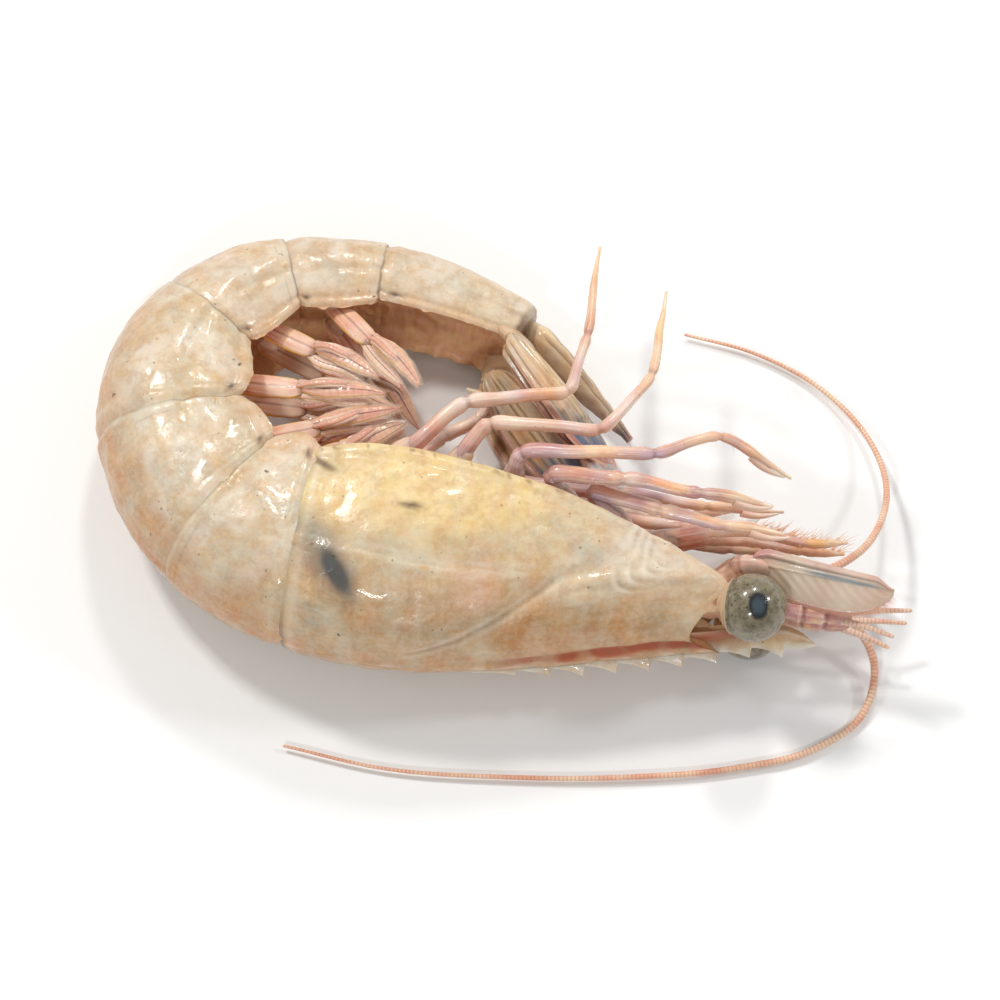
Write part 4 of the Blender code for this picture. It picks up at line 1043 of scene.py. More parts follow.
# which, size, side, how far left and how far below the axis the root is, fold round the tail, lean
fanPlan = (
    ("uropod_inner_left", "inner", 1.0, 3.0, 3.4, 52.0, 3.0),
    ("uropod_outer_left", "outer", 1.0, 5.0, 3.3, 52.0, 3.5),
    ("uropod_inner_right", "inner", -1.0, 1.9, 4.4, 74.0, 3.0),
    ("uropod_outer_right", "outer", -1.0, 3.7, 4.4, 74.0, 3.5),
)


def telson():
    spec = telsonPlate
    place, tail, back, left = frameAt(tailEnd, bodyLine["fanBend"] + spec["lean"])
    reach = np.linspace(spec["root"], 1.0, spec["rows"])[:, None]
    share = np.clip(reach, 0.0, 1.0)
    angle = (2 * math.pi * np.arange(spec["sides"]) / spec["sides"])[None]
    c, s = np.cos(angle), np.sin(angle)
    rootIn = 0.72 + 0.28 * step(reach, spec["root"], 0.06)
    wide = spec["halfWidth"] * (1 - spec["taper"] * share**1.4) * rootIn
    high = spec["halfHeight"] * (1 - 0.75 * share) * rootIn
    groove = -0.36 * bump(c / 0.2, 1.0) * step(s, 0.4, 1.0) * step(share, 0.04, 0.2) * (1 - share)
    ridges = 0.2 * bump((np.abs(c) - 0.42) / 0.12, 1.0) * step(s, 0.3, 0.8) * (1 - share)
    flank = 0.09 * bump((s - 0.1) / 0.13, 1.0) - 0.10 * bump((np.abs(s - 0.1) - 0.34) / 0.1, 1.0)
    across = wide * c * (1 + flank * step(share, 0.03, 0.15))
    up = high * s + groove + ridges
    rise = spec["rise"] - share**2
    points = place + tail * (spec["gap"] + spec["length"] * reach)[..., None] + back * (up + rise)[..., None]
    points = points + left * across[..., None]
    points = points + back * (0.05 * ripple(points, 1.8, 81))[..., None]
    onTop = step(s, 0.0, 0.4)
    onSide = step(np.abs(c), 0.55, 0.8)
    sideLines = bump((np.abs(s - 0.1) - 0.34) / 0.09, 1.0) * onSide * step(share, 0.03, 0.12)
    sideRib = bump((s - 0.1) / 0.13, 1.0) * onSide
    topRibs = bump((np.abs(c) - 0.42) / 0.08, 1.0) * onTop
    topLines = bump((np.abs(c) - 0.22) / 0.07, 1.0) * onTop * step(share, 0.02, 0.1)
    values = {
        "amberTone": 0.25 + 0.6 * bump(c, 0.3) * onTop,
        "ribTone": 0.12 * (1 - share) + 0.6 * topRibs + 0.55 * sideRib * (1 - share),
        "groove": 0.7 * topLines + 0.65 * sideLines,
        "violetTone": 0.7 * step(share, 0.6, 1.0), "blueTone": 0.5 * step(share, 0.85, 1.0),
        "pinkTone": 0.35 * step(share, 0.93, 1.0), "distance": share * spec["length"], "arc": across,
    }
    shares = np.linspace(0.35, 0.98, spec["spines"])
    roots, ways = [], []
    for side in (1.0, -1.0):
        reach = spec["halfWidth"] * (1 - spec["taper"] * shares**1.4)
        rise = spec["rise"] - shares**2
        roots.append(place + tail * (spec["gap"] + spec["length"] * shares)[:, None]
                     + back * rise[:, None] + left * (reach * side * 0.96)[:, None])
        ways.append(np.tile(tail * 1.0 + left * side * 0.45, (len(shares), 1)))
    hairs = bristles(np.concatenate(roots), np.concatenate(ways), 0.9, 0.05, values={"pinkTone": 0.7})
    addPiece("telsonPlate", [gridMesh(points, values), hairs], finishes["fan"], "shell", "telson")


def roundedRoot(share, length=0.09, least=0.2):
    # a blade's width grows from its root like the end of an oval
    return np.sqrt(np.clip(1 - (1 - np.clip(share / length, 0, 1)) ** 2, least, 1))


def fanOutline(share):
    wide = np.sin(math.pi * np.minimum(1.0, 0.14 + share * 0.62)) ** 0.8
    rounding = np.sqrt(np.clip(1 - (np.clip(share - 0.72, 0, 1) / 0.285) ** 2, 0, 1))
    wide = wide * rounding * roundedRoot(share)
    return np.maximum(0.06, wide * 0.92), np.maximum(0.06, wide)


def turned(v, axis, degrees):
    axis = unit(np.asarray(axis, float))
    a = math.radians(degrees)
    return v * math.cos(a) + np.cross(axis, v) * math.sin(a) + axis * (axis @ v) * (1 - math.cos(a))


def bladePlate(spec, root, along, across, face, outline, camber, relief, tones, columns, rows):
    # a thin domed plate with relief on both faces, closed round its edge
    share = np.linspace(0.0, 1.0, columns)[:, None]
    side = np.sin(np.linspace(-1.0, 1.0, rows) * math.pi / 2)[None]
    inner, outer = outline(share)
    reach = np.where(side > 0, outer, inner)
    base = (
        root + along * (spec["length"] * share)[..., None]
        + across * (side * reach * spec["width"] / 2)[..., None]
        + face * (camber * (np.sin(math.pi * share) * 0.6 - side * side * reach))[..., None]
    )
    thin = spec["thickness"] / 2 * np.sqrt(np.clip(1 - side**6, 0.02, 1))
    thin = thin * np.sqrt(np.clip(1 - share**14, 0.02, 1))
    height = relief(share, side)
    top = base + face * (thin + height)[..., None]
    bottom = base - face * (thin + height * 0.6)[..., None]
    ring = np.concatenate([top, bottom[:, ::-1]], axis=1)
    values = tones(share, side)
    values["distance"] = share * spec["length"]
    values["arc"] = side * reach * spec["width"] / 2
    both = {}
    for name, v in values.items():
        v = np.broadcast_to(v, (columns, rows))
        both[name] = np.concatenate([v, v[:, ::-1]], axis=1)
    return gridMesh(ring, both)


def bladeEdge(spec, root, along, across, face, camber, share, side, reach):
    # points just inside a blade's edge: side is 1 or -1, and reach its width there
    return (
        root + along * (spec["length"] * share)[:, None]
        + across * (side * reach * spec["width"] / 2 * 0.985)[:, None]
        + face * (camber * (np.sin(math.pi * share) * 0.6 - reach))[:, None]
    )


def uropods():
    for index, (node, size, sign, leftBy, ventralBy, fold, lean) in enumerate(fanPlan):
        spec = fanPlates[size]
        place, tail, back, left = frameAt(tailEnd, bodyLine["fanBend"] + lean)
        root = place + tail * fanPlates["gap"] + left * leftBy * sign - back * ventralBy
        across = turned(left, tail, fold * sign) * sign
        face = turned(back, tail, fold * sign)
        isOuter = size == "outer"

        def relief(share, side):
            mid = 0.34 * bump(side / 0.07, 1.0) * (1 - share) ** 0.6
            mid = mid + 0.2 * bump((np.abs(side) - 0.24) / 0.05, 1.0)
            outerRib = 0.16 * bump((np.abs(side) - 0.6) / 0.05, 1.0) * (1 - step(share, 0.5, 0.9))
            fine = 0.05 * np.sin(side * 38 + share * 3) * step(share, 0.15, 0.5)
            edge = 0.16 * bump((np.abs(side) - 0.93) / 0.05, 1.0) * (1 - step(share, 0.7, 0.8))
            cut = -0.16 * bump((share - 0.7 - 0.04 * side) / 0.012, 1.0) if isOuter else 0.0
            dip = -0.12 * bump((np.abs(side) - 0.14) / 0.035, 1.0)
            dip = dip - 0.12 * bump((np.abs(side) - 0.8) / 0.06, 1.0)
            height = mid + outerRib + fine + edge + cut + dip
            return height * step(share, 0.0, 0.08) * (1 - step(share, 0.9, 1.0))

        def tones(share, side):
            tip = step(share + 0.08 * np.sin(side * 9), 0.62, 0.9)
            rim = np.maximum(step(np.abs(side), 0.86, 1.0), step(share, 0.93, 1.0))
            ribs = 0.75 * bump(side / 0.06, 1.0) + 0.5 * bump((np.abs(side) - 0.24) / 0.04, 1.0)
            ribs = ribs + 0.35 * bump((np.abs(side) - 0.6) / 0.05, 1.0)
            outlines = 0.7 * bump((np.abs(side) - 0.14) / 0.035, 1.0)
            outlines = outlines + 0.6 * bump((np.abs(side) - 0.8) / 0.05, 1.0)
            return {
                "amberTone": 0.25 + 0.55 * bump(side - 0.5, 0.35) * (1 - tip),
                "ribTone": ribs * (1 - 0.8 * tip), "groove": outlines * (1 - tip) * step(share, 0.03, 0.1),
                "violetTone": 0.7 * step(share, 0.42, 0.85) + 0.15 * rim,
                "blueTone": 0.75 * tip * (1 - 0.6 * rim), "pinkTone": 0.65 * rim * step(share, 0.3, 0.7),
            }

        body = bladePlate(
            spec, root, tail, across, face, fanOutline, fanPlates["camber"], relief, tones,
            fanPlates["columns"], fanPlates["rows"])
        edgeShare = np.linspace(0.18, 0.998, fanPlates["bristles"])
        hairRoots, hairWays = [], []
        for side, reach in zip((1.0, -1.0), fanOutline(edgeShare)[::-1]):
            here = bladeEdge(spec, root, tail, across, face, fanPlates["camber"], edgeShare, side, reach)
            slope = np.gradient(here, axis=0)
            outward = unit(np.cross(slope, face)) * side
            outward = outward * np.sign((outward * (across * side)).sum(-1))[:, None]
            hairRoots.append(here)
            hairWays.append(outward * 0.7 + tail * 0.75)
        hairs = bristles(np.concatenate(hairRoots), np.concatenate(hairWays), 1.0, 0.045,
                         values={"pinkTone": 0.6, "violetTone": 0.3})
        parts = [body, hairs]
        if isOuter:
            parts.append(fanStalk(sign, root, along=tail, face=face))
        addPiece(f"fanPlate{index + 1}", parts, finishes["fan"], "fan", node)


def fanStalk(sign, root, along, face):
    # the short stout joint that carries a side's two fan plates
    spec = fanPlates["stalk"]
    start = bodyPoint(tailEnd + spec["from"][0], spec["from"][1], spec["from"][2] * sign)
    end = root + along * spec["past"]
    t = np.linspace(0.0, 1.0, 40)
    path = start + (end - start) * t[:, None] + along * (np.sin(math.pi * t) * 0.5)[:, None]
    swell = 0.8 + 0.35 * np.sin(math.pi * np.clip(0.15 + 0.8 * t, 0, 1)) + 0.1 * bump(t - 0.85, 0.08)
    values = {"amberTone": 0.55, "groove": 0.5 * bump(t - 0.93, 0.04), "ribTone": 0.35 * bump(t - 0.8, 0.06),
              "arc": 0.0}
    wide = unit(np.cross(face, end - start))
    return sweep(path, spec["half"][0] * swell, spec["half"][1] * swell, wide, 24, values)


telson()
uropods()
print("tail fan made")

eyeBall = {"place": (-6.3, -0.6), "radius": 3.5, "stalk": 1.5, "footBack": 3.2, "footIn": 0.78,
           "left": 5.8, "right": -4.3, "stalkRows": 26, "rows": 70, "sides": 96,
           # where the stalk ends, as a distance behind the middle; the way each dark spot looks; its size
           "neck": 2.6, "spotWays": ((0.10, -0.30, 0.95), (0.2, -0.75, -0.6)), "spot": (0.26, 0.34)}


def eye(name, left, node):
    spec = eyeBall
    station, ventral = spec["place"]
    centre = bodyPoint(station, ventral, left)
    foot = bodyPoint(station + spec["footBack"], ventral, left * spec["footIn"])
    axis = unit(centre - foot)
    reach = np.linalg.norm(centre - foot)
    t = np.concatenate([
        np.linspace(-reach, -spec["neck"], spec["stalkRows"])[:-1],
        -spec["radius"] * np.cos(np.linspace(0.73, math.pi - 0.02, spec["rows"])),
    ])
    ball = np.sqrt(np.clip(spec["radius"] ** 2 - t**2, 0.0, None))
    stalk = spec["stalk"] * (1 + 0.18 * np.sin((t + reach) * 2.0)) + 0.75 * step(t, -3.4, -2.4)
    radius = np.where(t < -2.45, np.minimum(np.maximum(stalk, ball * 0.6), spec["radius"] * 0.72), ball)
    collar = 0.16 * bump(t + 2.15, 0.22) - 0.20 * bump(t + 1.72, 0.14)
    radius = np.maximum(radius + collar, 0.02)
    side = unit(np.cross(axis, (0.1, 0.2, 1.0)))
    other = np.cross(axis, side)
    angle = (2 * math.pi * np.arange(spec["sides"]) / spec["sides"])[None]
    points = (
        centre + axis * t[:, None, None]
        + side * (radius[:, None] * np.cos(angle))[..., None]
        + other * (radius[:, None] * np.sin(angle))[..., None]
    )
    looking = unit(points - centre)
    lens = t[:, None] > -2.0
    facing = unit(np.array(spec["spotWays"][0 if left > 0 else 1]))
    u = looking - (looking @ facing)[..., None] * facing
    frameUp = unit(np.cross(facing, (1.0, 0.15, 0.0)))
    frameSide = np.cross(frameUp, facing)
    front = (looking @ facing) > 0
    wide, high = spec["spot"]
    oval = np.hypot((u @ frameSide) / wide, (u @ frameUp) / high) + 0.07 * ripple(points, 1.3, 95)
    values = {
        "pupil": 0.8 * step(-oval, -1.0, -0.4) * front,
        "pupilRim": (0.8 * step(-oval, -1.35, -0.95) + 0.2 * step(-oval, -2.6, -1.2)) * front,
        "stalkTone": np.where(lens, 0.0, 0.9) * np.ones_like(oval),
    }
    mesh = gridMesh(points, values)
    addPiece(name, [mesh], finishes["eye"], "eye", node)


eye("eyeLeft", eyeBall["left"], "eye_left")
eye("eyeRight", eyeBall["right"], "eye_right")

headBlock = {
    # station, half width, reach above and below the axis
    "rings": ((3.8, 1.3, 0.2, 2.0), (0.6, 1.5, 0.5, 1.8), (-1.2, 1.9, 1.2, 3.2), (-3.2, 2.2, 0.8, 5.2),
              (-6.0, 2.6, -3.2, 6.0), (-9.0, 1.9, -3.4, 5.4)),
    "rows": 70, "sides": 56,
}


def headPiece():
    table = np.array(headBlock["rings"])[::-1]
    station = np.linspace(table[-1, 0], table[0, 0], headBlock["rows"])[:, None]
    wide, top, low = (smooth(table[:, 0], table[:, k], station) for k in (1, 2, 3))
    ends = np.sqrt(np.clip(1 - (np.abs(np.linspace(-1, 1, headBlock["rows"])) ** 8), 0.05, 1))[:, None]
    angle = (2 * math.pi * np.arange(headBlock["sides"]) / headBlock["sides"])[None]
    up = (top - low) / 2 + (top + low) / 2 * np.cos(angle) * ends
    across = wide * np.sin(angle) * ends
    place, _, back, left = frameAt(station)
    points = place + back * up[..., None] + left * across[..., None]
    lumps = 0.25 * ripple(points, 2.4, 90) + 0.10 * ripple(points, 0.9, 91)
    points = points + left * (np.sin(angle) * lumps)[..., None]
    values = {
        "redTone": 0.3 * np.clip(ripple(points, 3.0, 92), 0, 1),
        "whiteTone": 0.35 * np.clip(ripple(points, 2.0, 93), 0, 1),
        "distance": -station, "around": np.cos(angle),
    }
    addPiece("headBlock", [gridMesh(points, values)], finishes["limb"], "flesh", "head")


headPiece()

rootPiece = {"rows": 32, "sides": 16, "wide": 1.32, "waist": 1.1, "end": 0.92}


def limbRoot(inside, root, outside, radius, tones, flatness=1.0):
    # the stout first pieces of a limb: from inside the flesh that carries it, by its root, to just past it
    spec = rootPiece
    t = np.linspace(0.0, 1.0, spec["rows"])
    size = radius * np.interp(t, (0.0, 0.46, 0.53, 0.6, 0.86, 1.0), (
        spec["wide"], spec["wide"], spec["waist"], spec["wide"] * 0.96, spec["waist"], spec["end"]))
    joint = bump(t - 0.53, 0.035)
    whites = 0.3 + 0.2 * bump(t - 0.62, 0.05)
    values = {"redTone": 0.3 * joint, "jointLine": 0.3 * joint, "whiteTone": whites, **tones}
    path = through([inside, *root, outside], spec["rows"])
    return sweep(path, size, size * flatness, (0.0, 0.0, 1.0), spec["sides"], values)


feelerBase = {
    "stations": (-9.4, -11.6, -14.0, -16.0), "ventral": 0.6, "left": 1.9,
    "sizes": ((1.3, 1.1), (1.4, 1.2), (1.2, 1.0), (0.8, 0.7)),
    "whips": ((0.9, 6.4), (-0.9, 4.9)), "whipRadii": (0.42, 0.22), "rows": 90,
    "root": ((-4.8, 3.4, 0.9), (-7.2, 2.5, 1.2), (-9.3, 0.8, 1.85), (-10.4, 0.6, 1.9)), "rootRadius": 0.98,
}


def jointDip(x, joints, width):
    # 1 at the joints and 0 between them
    return np.max([bump(x - j, width) for j in joints], axis=0)


def antennules():
    spec = feelerBase
    end = spec["stations"][-1]
    for side, sign in (("left", 1.0), ("right", -1.0)):
        beside = spec["left"] * sign
        station = np.linspace(spec["stations"][0], end, spec["rows"])
        path = bodyPoint(station, spec["ventral"], beside)
        stations = np.array(spec["stations"])
        wide = np.interp(-station, -stations, [a for a, b in spec["sizes"]])
        high = np.interp(-station, -stations, [b for a, b in spec["sizes"]])
        dip = jointDip(station, stations[1:-1], 0.22)
        collar = jointDip(station, stations[1:-1] + 0.45, 0.2)
        scale = 1 - 0.22 * dip + 0.10 * collar
        left = frameAt(0.0)[3]
        values = {
            "mauveTone": 0.75, "redTone": 0.25 * dip, "jointLine": 0.35 * dip, "whiteTone": 0.3 * collar}
        parts = [sweep(path, wide * scale, high * scale, left, 26, values)]
        inside, *way, outside = (bodyPoint(s, v, l * sign) for s, v, l in spec["root"])
        parts.append(limbRoot(inside, way, outside, spec["rootRadius"], {"mauveTone": 0.6}))
        for lean, reach in spec["whips"]:
            root = bodyPoint(end + 0.8, spec["ventral"] + lean * 0.35, beside)
            tip = bodyPoint(end - reach, spec["ventral"] + lean * 1.6, beside + reach * 0.22 * sign)
            t = np.linspace(0.0, 1.0, 130)
            sag = np.sin(math.pi * t)[:, None] * np.array((0.0, 0.0, 0.35))
            whip = root + (tip - root) * t[:, None] + sag
            rings = 1 + 0.05 * np.sin(t * reach * 2 * math.pi / 0.36)
            radius = np.interp(t, (0, 1), spec["whipRadii"]) * rings
            tones = {"mauveTone": 0.35, "whiteTone": 0.3, "jointLine": 0.3 * (rings < 0.965)}
            parts.append(sweep(whip, radius, radius, left, 10, tones))
        addPiece(f"antennule{side.capitalize()}", parts, finishes["limb"], "limb", f"antennule_{side}")


scaleBlade = {"length": 15.0, "width": 5.6, "thickness": 0.45, "camber": 0.5, "columns": 110, "rows": 46,
              "bristles": 150,
              "roots": (("left", 1.0, (-5.4, 4.0, 4.6)), ("right", -1.0, (-5.4, 6.0, -5.2))),
              "carrier": (-4.6, 4.0, 0.9), "rootRadius": 1.15, "rootFlat": 0.62, "past": 1.6}


def scaleOutline(share):
    inner = np.sin(math.pi * np.minimum(1.0, 0.12 + share * 0.66)) ** 0.7
    inner = inner * np.sqrt(np.clip(1 - (np.clip(share - 0.7, 0, 1) / 0.305) ** 2, 0, 1))
    root = roundedRoot(share, 0.14, 0.12)
    point = 1 - 0.75 * step(share, 0.86, 1.0)
    return np.maximum(0.05, inner * 1.15 * root), np.maximum(0.06, (0.75 - 0.35 * share) * root * point)


def veinWave(share, side):
    return np.sin(share * 70 + side * 16)


def feelerScales():
    _, tail, back, left = frameAt(0.0)
    for name, sign, where in scaleBlade["roots"]:
        along = unit(-tail + left * 0.04 * sign + back * 0.06)
        across = unit(left * sign * 0.45 - back * 0.89)
        face = unit(left * sign * 0.89 + back * 0.45)
        root = bodyPoint(*where)

        def relief(share, side):
            rib = 0.42 * bump((side - 0.8) / 0.16, 1.0) * step(share, 0.0, 0.06) * (1 - 0.5 * share)
            veins = 0.025 * veinWave(share, side) * step(-side, -0.5, 0.2) - 0.14 * step(-side, -0.4, 0.7)
            return rib + veins + 0.14 * bump((side - 0.2) / 0.07, 1.0) * (1 - share)

        def tones(share, side):
            edge = step(-side, 0.8, 1.0)
            streak = bump((side - 0.42 + 0.25 * share) / 0.16, 1.0) * step(share, 0.3, 0.5)
            streak = streak * (1 - step(share, 0.8, 1.0))
            whites = bump((side + 0.35) / 0.3, 1.0) * (0.6 + 0.4 * veinWave(share, side))
            return {
                "clearTone": 0.9 - 0.3 * (1 - step(share, 0.05, 0.3)),
                "mauveTone": 0.08 + 0.35 * step(side, 0.5, 0.9) + 0.5 * (1 - step(share, 0.02, 0.2)),
                "whiteTone": 0.3 * whites,
                "redTone": 0.4 * edge + 0.3 * (1 - step(share, 0.0, 0.1)),
                "tealTone": 0.75 * streak,
                "jointLine": 0.4 * bump((side - 0.62) / 0.05, 1.0) * step(share, 0.05, 0.15),
            }

        body = bladePlate(
            scaleBlade, root, along, across, face, scaleOutline, scaleBlade["camber"], relief, tones,
            scaleBlade["columns"], scaleBlade["rows"])
        share = np.linspace(0.2, 0.995, scaleBlade["bristles"])
        here = bladeEdge(
            scaleBlade, root, along, across, face, scaleBlade["camber"], share, -1.0, scaleOutline(share)[0])
        ways = np.tile(along * 0.8 - across * 0.6, (len(share), 1))
        hairs = bristles(here, ways, 0.9, 0.04, values={"redTone": 0.6, "mauveTone": 0.4})
        inside = bodyPoint(*scaleBlade["carrier"][:2], scaleBlade["carrier"][2] * sign)
        base = limbRoot(
            inside, [inside + (root - inside) * 0.7], root + along * scaleBlade["past"],
            scaleBlade["rootRadius"], {"mauveTone": 0.5}, scaleBlade["rootFlat"])
        parts = [body, hairs, base]
        addPiece(f"feelerScale{name.capitalize()}", parts, finishes["limb"], "limb", f"scale_{name}")


feelerPaths = {
    "left": (((-9.6, 4.6, 1.5), (-12.4, 4.8, 2.4)), (
        (40.4, -6.0, 9.4), (43.4, -1.2, 6.6), (44.4, 5.0, 3.4), (42.4, 11.4, 1.4), (37.6, 17.0, 0.7),
        (31.0, 20.8, 0.7), (23.6, 23.0, 0.7))),
    "right": (((-9.6, 4.4, -1.5), (-12.6, 3.0, -2.2), (-16.5, 1.8, -3.8)), (
        (42.6, -15.4, 2.0), (41.4, -20.4, 0.8), (36.0, -24.4, 0.7), (28.0, -26.4, 0.7), (17.0, -27.4, 0.7),
        (4.0, -27.4, 0.7), (-9.0, -26.4, 0.7), (-19.0, -24.0, 0.7))),
    "solidPoints": 26, "socket": (0.95, 0.72), "thick": 0.46, "thin": 0.17,
    "pitch": 0.42, "perPitch": 6, "sides": 9, "rootPast": 1.1,
    "carrier": (-6.6, 4.3, 0.9), "rootRadius": 0.98,
}


def feelers():
    spec = feelerPaths
    for side in ("left", "right"):
        sockets, route = spec[side]
        points = [bodyPoint(*s) for s in sockets] + [np.array(p) + bodyLine["shift"] for p in route]
        coarse = through(points, spec["solidPoints"])
        length = np.linalg.norm(np.diff(coarse, axis=0), axis=1).sum()
        count = int(length / spec["pitch"] * spec["perPitch"])
        path = through(points, count)
        t = np.linspace(0.0, 1.0, count)
        knots = np.linspace(0.0, 1.0, spec["solidPoints"])
        whip = np.linspace(spec["thick"], spec["thin"], spec["solidPoints"] - 2)
        radius = np.interp(t, knots, [*spec["socket"], *whip])
        rings = 0.5 + 0.5 * np.cos(t * length / spec["pitch"] * 2 * math.pi)
        base = 1 - step(t, 0.02, 0.07)
        radius = radius * (1 - 0.06 * (1 - rings) * (1 - base)) * (1 + 0.10 * base * np.sin(t * length * 1.9))
        values = {"ringLine": (1 - rings) ** 3 * (1 - base)}
        mesh = sweep(path, radius, radius, (0.0, 0.0, 1.0), spec["sides"], values)
        sign = 1.0 if side == "left" else -1.0
        inside = bodyPoint(*spec["carrier"][:2], spec["carrier"][2] * sign)
        outside = points[0] + unit(points[1] - points[0]) * spec["rootPast"]
        base = limbRoot(inside, points[:1], outside, spec["rootRadius"], {})
        addPiece(f"feeler{side.capitalize()}", [mesh, base], finishes["feeler"], "feeler", f"feeler_{side}")


antennules()
feelerScales()
feelers()
print("head, eyes and feelers made")

legs = {
    # hip as (station, ventral, left), then the joints to the claw
    "left": (
        ((8.5, 6.8, 2.6), (12.6, -0.6, 14.6), (20.1, -3.4, 15.4), (26.4, -4.9, 15.2), (32.4, -5.4, 13.6)),
        ((14.0, 8.0, 2.8), (8.3, 0.6, 16.2), (16.2, -0.6, 17.2), (24.2, -2.2, 17.2), (31.4, -2.6, 14.6)),
        ((20.0, 9.3, 3.0), (5.5, 2.6, 17.2), (19.4, 1.7, 18.2), (26.2, 4.4, 17.4), (33.6, 0.8, 13.4)),
        ((26.0, 10.3, 3.0), (2.4, 6.2, 16.4), (13.9, 4.9, 16.2), (19.5, 11.6, 15.6), (21.0, 22.4, 12.8)),
        ((32.0, 10.4, 3.0), (0.0, 9.2, 15.0), (10.6, 10.0, 14.2), (12.6, 17.4, 12.8), (14.0, 28.6, 10.8)),
    ),
    "right": (
        ((8.5, 6.8, -2.6), (14.2, -1.0, 7.2), (22.4, -1.8, 6.8), (29.4, -2.8, 6.0), (35.6, -3.2, 5.0)),
        ((14.0, 8.0, -2.8), (9.2, 1.3, 4.6), (19.4, -1.9, 4.2), (27.6, -3.2, 3.4), (34.4, -2.6, 2.2)),
        ((20.0, 9.3, -3.0), (4.2, 3.0, 7.6), (16.2, 1.8, 7.0), (25.2, 0.8, 5.8), (33.4, 1.2, 3.4)),
        ((26.0, 10.3, -3.0), (-0.8, 4.6, 4.6), (9.4, 2.9, 3.2), (20.6, 0.2, 2.6), (30.2, 2.6, 1.5)),
        ((32.0, 10.4, -3.0), (-2.6, 8.6, 6.4), (1.4, 10.6, 6.2), (2.4, 13.0, 5.2), (0.0, 15.4, 3.4)),
    ),
    "radius": 1.1, "tip": 0.45, "clawed": 3, "finger": 4.2, "bend": 1.5, "bendShare": 0.36, "sides": 18,
    "sunk": 2.9, "inward": 0.8, "rootPast": 1.7,  # how deep a leg's root starts, and how far it reaches
    "mauve": (0.95, 0.9, 0.75, 0.5, 0.45), "red": (0.5, 0.4, 0.55, 0.6, 0.5),
    "white": (0.3, 0.4, 0.35, 0.45, 0.5), "yellow": 0.12, "bristles": 26,
}


def limbLine(joints):
    # points along a limb with rounded knees, and where each is: the number of its length plus the share of it
    joints = [np.asarray(j, float) for j in joints]
    points, where = [], []
    starts = [joints[0]]
    for a, b, c in zip(joints, joints[1:], joints[2:]):
        reach = min(legs["bend"], legs["bendShare"] * min(np.linalg.norm(b - a), np.linalg.norm(c - b)))
        starts.append((b + unit(a - b) * reach, b, b + unit(c - b) * reach, reach))
    starts.append(joints[-1])
    for k in range(len(joints) - 1):
        a = starts[k] if k == 0 else starts[k][2]
        b = starts[k + 1] if k == len(joints) - 2 else starts[k + 1][0]
        full = np.linalg.norm(joints[k + 1] - joints[k])
        first = 0.0 if k == 0 else starts[k][3] / full
        last = 1.0 if k == len(joints) - 2 else 1 - starts[k + 1][3] / full
        count = max(6, int(np.linalg.norm(b - a) / 0.32))
        for t in np.linspace(0.0, 1.0, count):
            points.append(a + (b - a) * t)
            where.append(k + first + (last - first) * t)
        if k < len(joints) - 2:
            before, knee, past, _ = starts[k + 1]
            nextFirst = starts[k + 1][3] / np.linalg.norm(joints[k + 2] - joints[k + 1])
            for t in np.linspace(0.0, 1.0, 10)[1:-1]:
                points.append(before * (1 - t) ** 2 + knee * 2 * t * (1 - t) + past * t * t)
                where.append(k + last + (1 - last) * t * 2 if t < 0.5 else k + 1 + nextFirst * (t - 0.5) * 2)
    return np.array(points), np.array(where)


